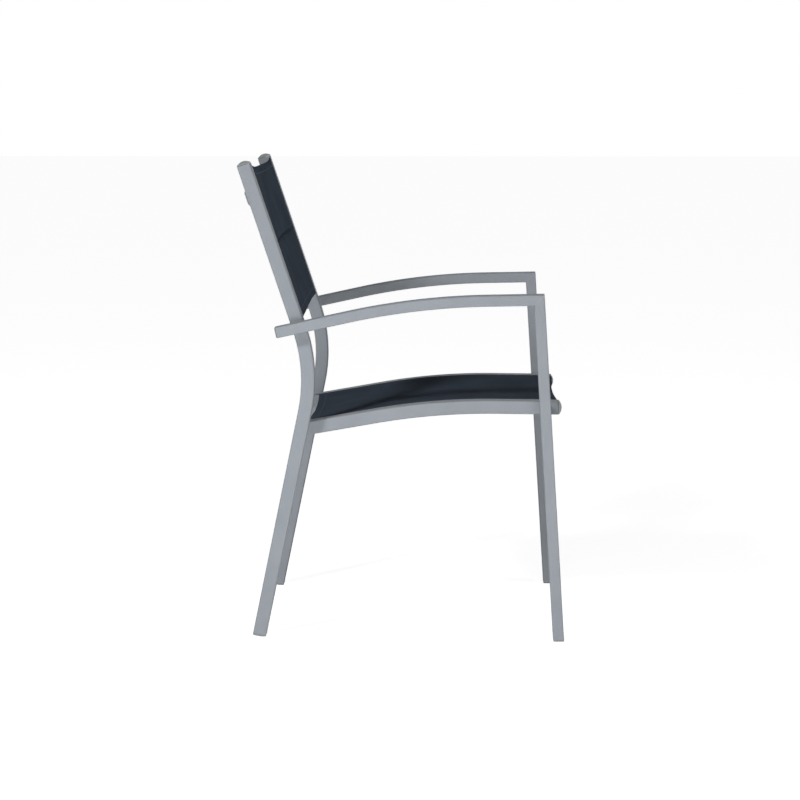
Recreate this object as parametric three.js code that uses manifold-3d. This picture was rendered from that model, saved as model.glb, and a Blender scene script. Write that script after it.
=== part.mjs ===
// Sling armchair for a patio: a welded aluminium tube frame that carries two stretched slings.
// Millimetres, +Z up. The sitter faces -Y, X = 0 is the plane of symmetry, and left is the sitter's left.
// Each side of the frame lies in three layers across X: the seat rail, the upright, then the arm
// and front leg.

import * as THREE from 'three';
import { mergeVertices } from 'three/addons/utils/BufferGeometryUtils.js';
import Module from 'manifold-3d';

const wasm = await Module();
wasm.setup();

const degrees = Math.PI / 180;

// Widths across the chair
const seatWidth = 380; // clear width between the two seat rails
const profileWidth = 30; // sling extrusion, used for the seat rails and the uprights
const profileDepth = 24.5;
const tubeWidth = 30; // plain tube of the arms and front legs
const tubeDepth = 19.8;
const tubeWall = 1.6;

// Upright: two straights that would meet at the bend point, joined by one bend
const uprightBendY = 158.6;
const uprightBendZ = 494.9;
const uprightBendRadius = 291;
const rearLegRake = 11.64 * degrees; // the rear leg runs back on its way down
const backLean = 18.52 * degrees; // the back leans away from the sitter
const backReach = 390.6; // from the bend point to the top of the tube

// Seat rail: level at the front, falling at the rear
const railBendY = -62.8;
const railBendZ = 424.6;
const railBendRadius = 1212;
const railFrontRise = 0.54 * degrees;
const railRearFall = 9.99 * degrees;
const railFrontReach = 225.2;
const railRearReach = 250.6;

// Arm: nearly level at the front, falling to the rear
const armBendY = -30.5;
const armBendZ = 620.8;
const armBendRadius = 1299;
const armFrontFall = 1.1 * degrees;
const armRearFall = 12.34 * degrees;
const armRearReach = 259.4;

// Front leg: one straight that leans forward on its way down
const frontFootY = -290.2;
const frontLegRake = 3.63 * degrees;

// Corner rounding of the tubes
const cornerRadius = 2.4;
const showCornerRadius = 4.6; // the outer corner that faces the sitter on the sling extrusion
const cornerSteps = 3;

// Keyhole groove at the inner corner of the sling extrusion, open along the corner's diagonal
const grooveInset = 4.4; // from both faces to the middle of the groove
const grooveRadius = 3;
const grooveMouth = 2.4;
const grooveWall = 1.5;
const grooveAngle = 135 * degrees; // the mouth, seen from the middle of the groove
const grooveSteps = 8;
const grooveWallSteps = 5;

// Slings
const slingThickness = 1.6;
const splineRadius = 1.5; // plastic rod inside each hem
const fit = 0.3; // clearance between pieces that touch
const weldGap = 0.3; // gap at the mitre of arm and front leg
const seatSag = 8.5; // at the crease that runs down the middle of the seat
const seatRearInset = 13.4; // from the rear end of the rail to the sling
const seatRearCurve = 4; // how far the rear edge curves forward
const seatFrontInset = 1.5;
const seatFrontCurve = 3.8; // how far the front edge curves back
const creasePower = 1.2; // 1 is a sharp fold, 2 a round belly
const creaseSwingShare = 0.68; // of the seat's depth, where the crease starts to open
const creaseCornerPower = 6;
const backSag = 5;
const backTopInset = 4; // from the top of the upright to the hem
const backTopCurve = 6; // how far the top edge dips
const backSlingLength = 291;
const backBottomCurve = 6.5; // how far the lower edge rises in its middle
const bellyShare = 0.6; // of the sag, at the two ends of the back
const topCurvePower = 6; // the top edge rises to the grooves near its two ends only
const bottomCurvePower = 4;
const seamPinch = 1.6; // how far the cross seam of the back draws in
const seamReach = 16;
const seamPower = 4;

// Cross members, all bowed clear of the slings
const seatBarDepth = 24;
const seatBarHeight = 14;
const seatBarBow = 16;
const seatBarDrop = 3.5; // below the middle of the rail
const rearBarInset = 38; // from the rear end of the rail
const backBarHeight = 31;
const backBarDepth = 14;
const backBarBow = 25;
const backBarSetback = 2; // behind the middle of the upright
const backBarInset = 61.3; // below the top of the tube
const barRoundShare = 0.46; // corner radius of the flat oval tubes, of their thickness
const spacerDepth = 14;
const spacerHeight = 17;
const barSteps = 12;

// Plastic end caps and feet
const capRim = 1.6;
const capDome = 5.2;
const capInset = 0.2;
const flatCapThickness = 2;
const plugLength = 12;
const plugTaper = 0.8;
const footLift = 1.5; // lowest corner of a tube above the floor
const footPad = 3;
const domeShares = [0.92, 0.78, 0.58, 0.36, 0.12];

// Divisions of the bends and of the cloth
const uprightSteps = 9;
const railSteps = 7;
const armSteps = 8;
const splineSteps = 12;
const hemSteps = 8;
const seatRows = 12;
const seatColumns = 16;
const backRows = 16;
const backColumns = 12;

const railX = (seatWidth + profileWidth) / 2;
const uprightX = railX + profileWidth;
const armX = uprightX + (profileWidth + tubeWidth) / 2;

const finishes = {
  aluminium: { color: 0x9aa0a6, roughness: 0.42, metalness: 0.55 },
  sling: { color: 0x2c3138, roughness: 0.82, metalness: 0 },
  spline: { color: 0x1d1f22, roughness: 0.6, metalness: 0 },
  cap: { color: 0x8b8f93, roughness: 0.55, metalness: 0 },
};

// A line in the side view: a straight, a bend and a straight. Angles run from +Y towards +Z.
class BentLine {
  constructor({ corner, startAngle, endAngle = startAngle, radius = 0, startReach, endReach = 0 }) {
    this.sense = Math.sign(endAngle - startAngle);
    const trim = radius * Math.tan(Math.abs(endAngle - startAngle) / 2);
    Object.assign(this, { corner, startAngle, endAngle, radius, startReach, endReach });
    this.bendStart = startReach - trim;
    this.bendEnd = this.bendStart + radius * Math.abs(endAngle - startAngle);
    this.length = this.bendEnd + endReach - trim;
  }

  // The point at a distance along the line, the direction there and the normal on its left.
  at(distance) {
    const { corner, radius, sense, bendStart, bendEnd } = this;
    const onBend = Math.min(Math.max(distance, bendStart), bendEnd) - bendStart;
    const turned = radius > 0 ? (sense * onBend) / radius : 0;
    const along = heading(this.startAngle + turned);
    const across = new THREE.Vector2(-along.y, along.x);
    let point;
    if (distance <= bendStart || radius === 0) {
      point = corner.clone().addScaledVector(along, distance - this.startReach);
    } else if (distance >= bendEnd) {
      point = corner.clone().addScaledVector(along, distance - this.length + this.endReach);
    } else {
      const first = heading(this.startAngle);
      point = corner.clone().addScaledVector(first, bendStart - this.startReach);
      point.addScaledVector(new THREE.Vector2(-first.y, first.x), sense * radius);
      point.addScaledVector(across, -sense * radius);
    }
    return { point, along, across };
  }

  // Distances from one place to another, with the bend divided evenly.
  stations(from, to, bendSteps) {
    const bend = Array.from({ length: bendSteps + 1 }, (_, i) =>
      THREE.MathUtils.lerp(this.bendStart, this.bendEnd, i / bendSteps));
    return [from, ...bend.filter((s) => s > from + fit && s < to - fit), to];
  }
}

function heading(angle) {
  return new THREE.Vector2(Math.cos(angle), Math.sin(angle));
}

function arc(centre, radius, from, to, steps) {
  return Array.from({ length: steps + 1 }, (_, i) =>
    heading(from + ((to - from) * i) / steps).multiplyScalar(radius).add(centre));
}

// Anticlockwise outline of a rectangle with round corners. The first corner is at the top right.
function roundedRectangle(width, height, radius, middle = new THREE.Vector2()) {
  const signs = [[1, 1], [-1, 1], [-1, -1], [1, -1]];
  return signs.flatMap(([sx, sy], quarter) => {
    const centre = new THREE.Vector2(sx * (width / 2 - radius), sy * (height / 2 - radius)).add(middle);
    const start = (quarter * Math.PI) / 2;
    return arc(centre, radius, start, start + Math.PI / 2, cornerSteps);
  });
}

function plainTubeSection(width, depth, radius, wall) {
  return {
    outer: roundedRectangle(width, depth, radius),
    bores: [roundedRectangle(width - 2 * wall, depth - 2 * wall, Math.max(radius - wall, wall / 2))],
  };
}

const grooveCentre = new THREE.Vector2(grooveInset - profileWidth / 2, profileDepth / 2 - grooveInset);

// Sling extrusion: x points away from the middle of the chair, y towards the sitter.
function slingExtrusionSection() {
  const right = profileWidth / 2;
  const front = profileDepth / 2;
  const lip = grooveMouth / Math.SQRT2; // from the corner to each side of the mouth
  const mouthHalfAngle = Math.asin(grooveMouth / 2 / grooveRadius);
  const outer = [
    ...arc(new THREE.Vector2(right - showCornerRadius, front - showCornerRadius), showCornerRadius,
      0, Math.PI / 2, cornerSteps),
    new THREE.Vector2(lip - right, front),
    ...arc(grooveCentre, grooveRadius,
      grooveAngle - mouthHalfAngle, grooveAngle + mouthHalfAngle - 2 * Math.PI, grooveSteps),
    new THREE.Vector2(-right, front - lip),
    ...arc(new THREE.Vector2(cornerRadius - right, cornerRadius - front), cornerRadius,
      Math.PI, 1.5 * Math.PI, cornerSteps),
    ...arc(new THREE.Vector2(right - cornerRadius, cornerRadius - front), cornerRadius,
      1.5 * Math.PI, 2 * Math.PI, cornerSteps),
  ];
  return { outer, bores: [chamberOutline()] };
}

// The hollow of the sling extrusion keeps one wall from the faces and another from the groove.
function chamberOutline() {
  const right = profileWidth / 2 - tubeWall;
  const front = profileDepth / 2 - tubeWall;
  const keep = grooveRadius + grooveWall;
  const toFront = Math.asin((front - grooveCentre.y) / keep);
  const toSide = Math.acos((-right - grooveCentre.x) / keep);
  return [
    ...arc(new THREE.Vector2(right - tubeWall, front - tubeWall), tubeWall, 0, Math.PI / 2, cornerSteps),
    ...arc(grooveCentre, keep, toFront, -toSide, grooveWallSteps),
    new THREE.Vector2(-right, -front),
    new THREE.Vector2(right, -front),
  ];
}

// A closed body through rings of points. Each ring lists its outer contour and then its bores,
// all anticlockwise.
function loft(rings, section) {
  const contours = [section.outer, ...section.bores];
  const ringSize = contours.reduce((total, contour) => total + contour.length, 0);
  const positions = rings.flat(2).flatMap((p) => [p.x, p.y, p.z]);
  const index = [];
  for (let i = 0; i + 1 < rings.length; i += 1) {
    let start = i * ringSize;
    contours.forEach((contour, k) => {
      const count = contour.length;
      for (let j = 0; j < count; j += 1) {
        const a = start + j;
        const b = start + ((j + 1) % count);
        const quad = [a, b, b + ringSize, a, b + ringSize, a + ringSize];
        index.push(...(k === 0 ? quad : quad.reverse()));
      }
      start += count;
    });
  }
  const flat = contours.flat();
  for (const face of THREE.ShapeUtils.triangulateShape(section.outer, section.bores)) {
    const [p, q, r] = face.map((n) => flat[n]);
    const turn = (q.x - p.x) * (r.y - p.y) - (q.y - p.y) * (r.x - p.x);
    const lid = turn > 0 ? face : [...face].reverse();
    const last = (rings.length - 1) * ringSize;
    index.push(...[...lid].reverse(), ...lid.map((n) => n + last));
  }
  const geometry = new THREE.BufferGeometry();
  geometry.setAttribute('position', new THREE.Float32BufferAttribute(positions, 3));
  geometry.setIndex(signedVolume(positions, index) > 0 ? index : index.reverse());
  return geometry;
}

function signedVolume(positions, index) {
  const at = (n) => new THREE.Vector3().fromArray(positions, 3 * n);
  let total = 0;
  for (let i = 0; i < index.length; i += 3) {
    total += at(index[i]).dot(at(index[i + 1]).cross(at(index[i + 2])));
  }
  return total;
}

// Places a point of a side member's section. The layer gives its side, +1 for left, and its
// distance from X = 0.
function placed(layer, station, offset, shift = 0) {
  const { point, along, across } = station;
  const p = point.clone().addScaledVector(across, offset.y).addScaledVector(along, shift);
  return new THREE.Vector3(layer.side * (layer.x + offset.x), p.x, p.y);
}

// A tube along a line in the side view. A mitre is a cut through a point, and needn't be square to the line.
function sweptTube(section, line, stations, layer, mitres = {}) {
  const contours = [section.outer, ...section.bores];
  const rings = stations.map((distance, i) => {
    const station = line.at(distance);
    const mitre = i === 0 ? mitres.start : i === stations.length - 1 ? mitres.end : undefined;
    const shiftOf = (offset) => {
      if (!mitre) return 0;
      const p = station.point.clone().addScaledVector(station.across, offset.y);
      return mitre.point.clone().sub(p).dot(mitre.normal) / station.along.dot(mitre.normal);
    };
    return contours.map((contour) =>
      contour.map((offset) => placed(layer, station, offset, shiftOf(offset))));
  });
  return loft(rings, section);
}

// A body whose rings lie square to the line, each with an outline of its own.
function stackedOutlines(line, layer, slices) {
  const rings = slices.map(({ distance, outline }) =>
    [outline.map((offset) => placed(layer, line.at(distance), offset))]);
  return loft(rings, { outer: slices[0].outline, bores: [] });
}

const uprightLine = new BentLine({
  corner: new THREE.Vector2(uprightBendY, uprightBendZ),
  startAngle: Math.PI / 2 + rearLegRake,
  endAngle: Math.PI / 2 - backLean,
  radius: uprightBendRadius,
  startReach: (uprightBendZ - footLift - (profileDepth / 2) * Math.sin(rearLegRake)) / Math.cos(rearLegRake),
  endReach: backReach,
});

const railLine = new BentLine({
  corner: new THREE.Vector2(railBendY, railBendZ),
  startAngle: railFrontRise,
  endAngle: -railRearFall,
  radius: railBendRadius,
  startReach: railFrontReach,
  endReach: railRearReach,
});

const legHeading = heading(Math.PI / 2 - frontLegRake);
const armHeading = heading(-armFrontFall);
const armCorner = meetingPoint(
  { point: new THREE.Vector2(frontFootY, 0), along: legHeading },
  { point: new THREE.Vector2(armBendY, armBendZ), along: armHeading },
);

const armLine = new BentLine({
  corner: new THREE.Vector2(armBendY, armBendZ),
  startAngle: -armFrontFall,
  endAngle: -armRearFall,
  radius: armBendRadius,
  startReach: armCorner.distanceTo(new THREE.Vector2(armBendY, armBendZ)),
  endReach: armRearReach,
});

const legLine = new BentLine({
  corner: armCorner,
  startAngle: Math.PI / 2 - frontLegRake,
  startReach: (armCorner.y - footLift - (tubeDepth / 2) * Math.sin(frontLegRake)) / Math.cos(frontLegRake),
});

function meetingPoint(first, second) {
  const normal = new THREE.Vector2(-second.along.y, second.along.x);
  const reach = second.point.clone().sub(first.point).dot(normal) / first.along.dot(normal);
  return first.point.clone().addScaledVector(first.along, reach);
}

// Arm and front leg meet in a mitre, half of the weld gap on each side of it.
function mitreCut(side) {
  const normal = armHeading.clone().add(legHeading).normalize();
  return { point: armCorner.clone().addScaledVector(normal, (side * weldGap) / 2), normal };
}

const extrusion = slingExtrusionSection();
const plainTube = plainTubeSection(tubeWidth, tubeDepth, cornerRadius, tubeWall);

function upright(layer) {
  return sweptTube(extrusion, uprightLine, uprightLine.stations(0, uprightLine.length, uprightSteps), layer);
}

function seatRail(layer) {
  return sweptTube(extrusion, railLine, railLine.stations(0, railLine.length, railSteps), layer);
}

function arm(layer) {
  const stations = armLine.stations(0, armLine.length, armSteps);
  return sweptTube(plainTube, armLine, stations, layer, { start: mitreCut(1) });
}

function frontLeg(layer) {
  return sweptTube(plainTube, legLine, [0, legLine.length], layer, { end: mitreCut(-1) });
}

// A tube across the chair, from one X to another. Its middle is bowed along the normal of the station.
function crossTube({ section, station, fromX, toX, offset, bow = 0, steps = 1 }) {
  const contours = [section.outer, ...section.bores];
  const half = (toX - fromX) / 2;
  const bowRadius = bow === 0 ? 0 : (half * half + bow * bow) / (2 * Math.abs(bow));
  const rings = Array.from({ length: steps + 1 }, (_, i) => {
    const x = THREE.MathUtils.lerp(fromX, toX, i / steps);
    const fromMiddle = x - (fromX + toX) / 2;
    const bowed = bow === 0 ? 0
      : Math.sign(bow) * (Math.sqrt(bowRadius * bowRadius - fromMiddle * fromMiddle) - bowRadius) + bow;
    return contours.map((contour) => contour.map((p) => {
      const place = station.point.clone()
        .addScaledVector(station.along, p.x)
        .addScaledVector(station.across, p.y + offset + bowed);
      return new THREE.Vector3(x, place.x, place.y);
    }));
  });
  return loft(rings, section);
}

function flatOvalSection(width, height) {
  return plainTubeSection(width, height, barRoundShare * Math.min(width, height), tubeWall);
}

function seatBar(distance) {
  return crossTube({
    section: flatOvalSection(seatBarDepth, seatBarHeight),
    station: railLine.at(distance),
    fromX: -seatWidth / 2,
    toX: seatWidth / 2,
    offset: -seatBarDrop,
    bow: -seatBarBow,
    steps: barSteps,
  });
}

function backBar() {
  const innerX = uprightX - profileWidth / 2;
  return crossTube({
    section: flatOvalSection(backBarHeight, backBarDepth),
    station: uprightLine.at(uprightLine.length - backBarInset),
    fromX: -innerX,
    toX: innerX,
    offset: -backBarSetback,
    bow: -backBarBow,
    steps: barSteps,
  });
}

// Where the middle of the front leg crosses the middle of the seat rail.
const frontCrossing = meetingPoint(legLine.at(legLine.length), railLine.at(0));
const frontCrossingDistance = frontCrossing.distanceTo(railLine.at(0).point);

// The spacer fills the upright's layer between the seat rail and the front leg.
function frontSpacer(layer) {
  const inner = railX + profileWidth / 2;
  const outer = armX - tubeWidth / 2;
  return crossTube({
    section: plainTubeSection(spacerDepth, spacerHeight, cornerRadius, tubeWall),
    station: railLine.at(frontCrossingDistance),
    fromX: layer.side * inner,
    toX: layer.side * outer,
    offset: 0,
  });
}

const hem = {
  outerRadius: splineRadius + fit + slingThickness / 2,
  innerRadius: splineRadius + fit,
  // middle of the cloth where it leaves the groove
  level: profileDepth / 2 - grooveMouth / Math.SQRT2 + fit + slingThickness / 2,
};

// Outline of a sling across the chair, anticlockwise, with a bore for the spline in each hem.
// dropOf gives how far the cloth lies below its edge at a share of the half width, from -1 to 1.
function slingOutline(halfWidth, dropOf, columns) {
  const half = slingThickness / 2;
  const edge = rightHem(halfWidth);
  const shares = Array.from({ length: columns + 1 }, (_, i) =>
    Math.sin(((i / columns) * 2 - 1) * (Math.PI / 2)));
  const surface = (offset) =>
    shares.map((share) => new THREE.Vector2(share * halfWidth, hem.level - dropOf(share) + offset));
  const mirrored = (points) => points.map((p) => new THREE.Vector2(-p.x, p.y)).reverse();
  const bore = arc(edge.centre, hem.innerRadius, 0, 2 * Math.PI, hemSteps).slice(1);
  return {
    outer: [...surface(-half), ...edge.points, ...surface(half).reverse(), ...mirrored(edge.points)],
    bores: [bore, mirrored(bore)],
  };
}

// The hem leaves the sheet at the mouth of the groove, runs down the diagonal and rings the spline.
function rightHem(halfWidth) {
  const half = slingThickness / 2;
  const centre = new THREE.Vector2(halfWidth + grooveInset, profileDepth / 2 - grooveInset);
  const bend = new THREE.Vector2(centre.x - (hem.level - centre.y), hem.level);
  const bendOffset = new THREE.Vector2(half * Math.tan((Math.PI - grooveAngle) / 2), half);
  const start = grooveAngle + Math.asin(half / hem.outerRadius);
  const ring = arc(centre, hem.outerRadius, start, 2 * (Math.PI + grooveAngle) - start, hemSteps);
  return { centre, points: [bend.clone().sub(bendOffset), ...ring, bend.clone().add(bendOffset)] };
}

// Lofts a sling along a line. endsOf gives the first and last distance at a share of the half width.
function sling({ line, halfWidth, rows, columns, dropOf, endsOf }) {
  const rings = Array.from({ length: rows + 1 }, (_, i) => {
    const progress = i / rows;
    const outline = slingOutline(halfWidth, (share) => dropOf(share, progress), columns);
    return [outline.outer, ...outline.bores].map((contour) => contour.map((p) => {
      const [start, end] = endsOf(THREE.MathUtils.clamp(p.x / halfWidth, -1, 1));
      const station = line.at(THREE.MathUtils.lerp(start, end, progress));
      return placed({ side: 1, x: 0 }, station, p);
    }));
  });
  return loft(rings, slingOutline(halfWidth, (share) => dropOf(share, 0), columns));
}

// The seat hangs in a soft crease. Towards the rear the crease runs to the two rear corners.
function seatDrop(share, progress) {
  const swing = THREE.MathUtils.smoothstep(progress, creaseSwingShare, 1);
  const crease = 1 - Math.pow(Math.abs(share), creasePower);
  const corners = 1 - Math.pow(Math.abs(share), creaseCornerPower);
  return seatSag * THREE.MathUtils.lerp(crease, corners / 2, swing);
}

const seatSlingStart = seatFrontInset;
const seatSlingEnd = railLine.length - seatRearInset;

function seatSling() {
  return sling({
    line: railLine,
    halfWidth: seatWidth / 2,
    rows: seatRows,
    columns: seatColumns,
    dropOf: seatDrop,
    endsOf: (share) => {
      const curve = 1 - share * share;
      return [seatSlingStart + seatFrontCurve * curve, seatSlingEnd - seatRearCurve * curve];
    },
  });
}

const backSlingEnd = uprightLine.length - backTopInset;
const backSlingStart = backSlingEnd - backSlingLength;

// The back bellies away from the sitter, and its cross seam at mid height draws in.
function backDrop(share, progress) {
  const fullness = THREE.MathUtils.lerp(bellyShare, 1, Math.sin(progress * Math.PI));
  const belly = backSag * (1 - share * share) * fullness;
  const fromSeam = (progress - 0.5) * backSlingLength / seamReach;
  return belly + seamPinch * Math.exp(-fromSeam * fromSeam) * (1 - Math.pow(share, seamPower));
}

function backSling() {
  return sling({
    line: uprightLine,
    halfWidth: uprightX - profileWidth / 2,
    rows: backRows,
    columns: backColumns,
    dropOf: backDrop,
    endsOf: (share) => [
      backSlingStart + backBottomCurve * (1 - Math.pow(share, bottomCurvePower)),
      backSlingEnd - backTopCurve * (1 - Math.pow(share, topCurvePower)),
    ],
  });
}

function splineRod(line, from, to, bendSteps, layer) {
  const outer = arc(grooveCentre, splineRadius, 0, 2 * Math.PI, hemSteps).slice(1);
  return sweptTube({ outer, bores: [] }, line, line.stations(from, to, bendSteps), layer);
}

function seatSpline(layer) {
  return splineRod(railLine, seatSlingStart, seatSlingEnd, splineSteps, layer);
}

function backSpline(layer) {
  return splineRod(uprightLine, backSlingStart, backSlingEnd, 1, layer);
}

// A cap on a tube end: a tapered plug inside, a rim on the end and a dome or a flat over it.
// Outward is +1 where the line runs out of the tube, and -1 at the line's start.
function endCap({ line, distance, outward, layer, plug, face, rise }) {
  const slice = (reach, outline) => ({ distance: distance + outward * reach, outline });
  const scaled = (outline, share, middle) =>
    outline.map((p) => p.clone().sub(middle).multiplyScalar(share).add(middle));
  const nose = scaled(plug.outline, 1 - plugTaper / plug.size, plug.middle);
  const slices = [
    slice(-plugLength, nose),
    slice(fit, plug.outline),
    slice(fit, face),
    ...rise.map(({ reach, share }) => slice(fit + reach, scaled(face, share, new THREE.Vector2()))),
  ];
  return stackedOutlines(line, layer, slices);
}

// The plug of a sling extrusion fills the hollow below the groove's wall.
function extrusionPlug() {
  const width = profileWidth - 2 * (tubeWall + fit);
  const top = grooveCentre.y - grooveRadius - grooveWall - fit;
  const bottom = tubeWall + fit - profileDepth / 2;
  const middle = new THREE.Vector2(0, (top + bottom) / 2);
  return { outline: roundedRectangle(width, top - bottom, tubeWall, middle), size: top - bottom, middle };
}

function tubePlug() {
  const depth = tubeDepth - 2 * (tubeWall + fit);
  const width = tubeWidth - 2 * (tubeWall + fit);
  return { outline: roundedRectangle(width, depth, tubeWall), size: depth, middle: new THREE.Vector2() };
}

function capFace(width, depth) {
  return roundedRectangle(width - 2 * capInset, depth - 2 * capInset, cornerRadius);
}

// The dome is a parabola over the rim.
const domeRise = [
  { reach: capRim, share: 1 },
  ...domeShares.map((share) => ({ reach: capRim + capDome * (1 - share * share), share })),
];

function domedCap(line, distance, outward, layer) {
  return endCap({
    line, distance, outward, layer,
    plug: extrusionPlug(),
    face: capFace(profileWidth, profileDepth),
    rise: domeRise,
  });
}

function armCap(layer) {
  const bevelShare = 1 - cornerRadius / tubeDepth;
  return endCap({
    line: armLine, distance: armLine.length, outward: 1, layer,
    plug: tubePlug(),
    face: capFace(tubeWidth, tubeDepth),
    rise: [{ reach: flatCapThickness / 2, share: 1 }, { reach: flatCapThickness, share: bevelShare }],
  });
}

// A foot's pad follows the square end of the leg and is trimmed level with the floor.
function foot(line, layer, plug, face) {
  const body = endCap({
    line, distance: 0, outward: -1, layer, plug, face,
    rise: [{ reach: footPad, share: 1 }],
  });
  const reach = tubeWidth + profileDepth;
  const floor = new THREE.BoxGeometry(reach, reach, reach);
  const below = line.at(0).point;
  floor.translate(layer.side * layer.x, below.x, -reach / 2);
  return fromManifold(toManifold(body).subtract(toManifold(floor)));
}

function toManifold(geometry) {
  const bare = geometry.clone();
  bare.deleteAttribute('normal');
  bare.deleteAttribute('uv');
  const merged = mergeVertices(bare);
  return new wasm.Manifold(new wasm.Mesh({
    numProp: 3,
    vertProperties: new Float32Array(merged.attributes.position.array),
    triVerts: new Uint32Array(merged.index.array),
  }));
}

function fromManifold(solid) {
  const mesh = solid.getMesh();
  const geometry = new THREE.BufferGeometry();
  geometry.setAttribute('position', new THREE.BufferAttribute(new Float32Array(mesh.vertProperties), 3));
  geometry.setIndex(new THREE.BufferAttribute(new Uint32Array(mesh.triVerts), 1));
  return geometry;
}

const chair = new THREE.Group();

function add(name, geometry, finish) {
  geometry.computeVertexNormals();
  const mesh = new THREE.Mesh(geometry, new THREE.MeshStandardMaterial(finishes[finish]));
  mesh.name = name;
  chair.add(mesh);
}

for (const [name, side] of [['left', 1], ['right', -1]]) {
  const railLayer = { side, x: railX };
  const uprightLayer = { side, x: uprightX };
  const armLayer = { side, x: armX };

  add(`upright_${name}`, upright(uprightLayer), 'aluminium');
  add(`seat_rail_${name}`, seatRail(railLayer), 'aluminium');
  add(`arm_${name}`, arm(armLayer), 'aluminium');
  add(`front_leg_${name}`, frontLeg(armLayer), 'aluminium');
  add(`front_spacer_${name}`, frontSpacer(armLayer), 'aluminium');

  add(`seat_spline_${name}`, seatSpline(railLayer), 'spline');
  add(`back_spline_${name}`, backSpline(uprightLayer), 'spline');

  add(`upright_cap_${name}`, domedCap(uprightLine, uprightLine.length, 1, uprightLayer), 'cap');
  add(`rail_front_cap_${name}`, domedCap(railLine, 0, -1, railLayer), 'cap');
  add(`rail_rear_cap_${name}`, domedCap(railLine, railLine.length, 1, railLayer), 'cap');
  add(`arm_cap_${name}`, armCap(armLayer), 'cap');
  add(`front_foot_${name}`, foot(legLine, armLayer, tubePlug(), capFace(tubeWidth, tubeDepth)), 'cap');
  add(`rear_foot_${name}`,
    foot(uprightLine, uprightLayer, extrusionPlug(), capFace(profileWidth, profileDepth)), 'cap');
}

add('front_crossbar', seatBar(frontCrossingDistance), 'aluminium');
add('rear_crossbar', seatBar(railLine.length - rearBarInset), 'aluminium');
add('back_crossbar', backBar(), 'aluminium');
add('seat_sling', seatSling(), 'sling');
add('back_sling', backSling(), 'sling');

// The origin is on the floor under the middle of the chair.
const bounds = new THREE.Box3().setFromObject(chair);
chair.position.set(0, -(bounds.min.y + bounds.max.y) / 2, -bounds.min.z);
chair.updateMatrixWorld(true);

export default chair;
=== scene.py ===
"""Sling patio chair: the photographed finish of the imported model.

The tubes, caps, welds and cloth are built here as fine meshes in the frame of the
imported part: metres, +Z up, the sitter facing -Y. Sizes are written in millimetres.
"""

import logging
import math
from dataclasses import dataclass, replace
from enum import Enum
from typing import Any, Callable, Sequence

import bmesh
import bpy
import numpy as np
from mathutils import Matrix, Vector
from mathutils.geometry import tessellate_polygon


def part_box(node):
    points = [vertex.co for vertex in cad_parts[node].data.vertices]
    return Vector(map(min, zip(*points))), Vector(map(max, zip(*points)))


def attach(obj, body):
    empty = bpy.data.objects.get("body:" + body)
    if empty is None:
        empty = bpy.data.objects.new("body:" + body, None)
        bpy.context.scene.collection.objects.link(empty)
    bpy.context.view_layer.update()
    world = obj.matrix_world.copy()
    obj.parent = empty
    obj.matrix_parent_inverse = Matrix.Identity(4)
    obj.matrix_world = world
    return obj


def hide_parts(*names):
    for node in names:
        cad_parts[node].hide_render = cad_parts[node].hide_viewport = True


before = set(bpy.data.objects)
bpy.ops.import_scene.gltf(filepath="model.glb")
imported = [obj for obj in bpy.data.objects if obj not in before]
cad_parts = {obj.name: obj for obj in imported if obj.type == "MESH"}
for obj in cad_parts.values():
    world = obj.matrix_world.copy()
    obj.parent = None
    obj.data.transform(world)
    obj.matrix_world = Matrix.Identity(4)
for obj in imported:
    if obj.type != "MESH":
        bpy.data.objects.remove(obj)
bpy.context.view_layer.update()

log = logging.getLogger("sling_chair")

MM = 0.001
BODY = "root"
IMAGE_SIDE_PX = 800
CLOTH_MAP = "cloth"  # the flat places of a cloth's points, in metres


class Side(Enum):
    """The two sides of the chair, as the sitter names them."""

    LEFT = 1
    RIGHT = -1

    @property
    def label(self) -> str:
        """The side's word in the names of its pieces."""
        return self.name.lower()


class Slot(Enum):
    """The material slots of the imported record."""

    FRAME = "frame_metal"
    SLING = "sling_fabric"
    SPLINE = "spline_plastic"
    CAP = "cap_plastic"


# Colour and shader helpers


def linear(hex_code: str) -> tuple[float, float, float, float]:
    """Turn an sRGB hex colour into a linear colour with full alpha.

    Args:
        hex_code: Six hex digits with a leading hash.

    Returns:
        Red, green, blue and alpha, from 0 to 1.
    """
    levels = [int(hex_code[i : i + 2], 16) / 255 for i in (1, 3, 5)]
    red, green, blue = (
        level / 12.92 if level <= 0.04045 else ((level + 0.055) / 1.055) ** 2.4
        for level in levels
    )
    return red, green, blue, 1.0


def per_metre(size_mm: float) -> float:
    """The scale of a texture whose features are the given number of millimetres."""
    return 1 / (size_mm * MM)


def add_node(
    tree: bpy.types.NodeTree,
    kind: str,
    settings: dict[str | int, Any] | None = None,
    links: dict[str | int, bpy.types.NodeSocket] | None = None,
) -> bpy.types.Node:
    """Add a shader node with its settings and its incoming links.

    Args:
        tree: The tree that gets the node.
        kind: The node's type name.
        settings: Attributes of the node, or values of its inputs by name or number.
        links: The sockets that feed its inputs, by name or number.

    Returns:
        The new node.
    """
    node = tree.nodes.new(kind)
    for key, value in (settings or {}).items():
        if isinstance(key, str) and hasattr(node, key):
            setattr(node, key, value)
        else:
            node.inputs[key].default_value = value
    for key, socket in (links or {}).items():
        tree.links.new(socket, node.inputs[key])
    return node


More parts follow.
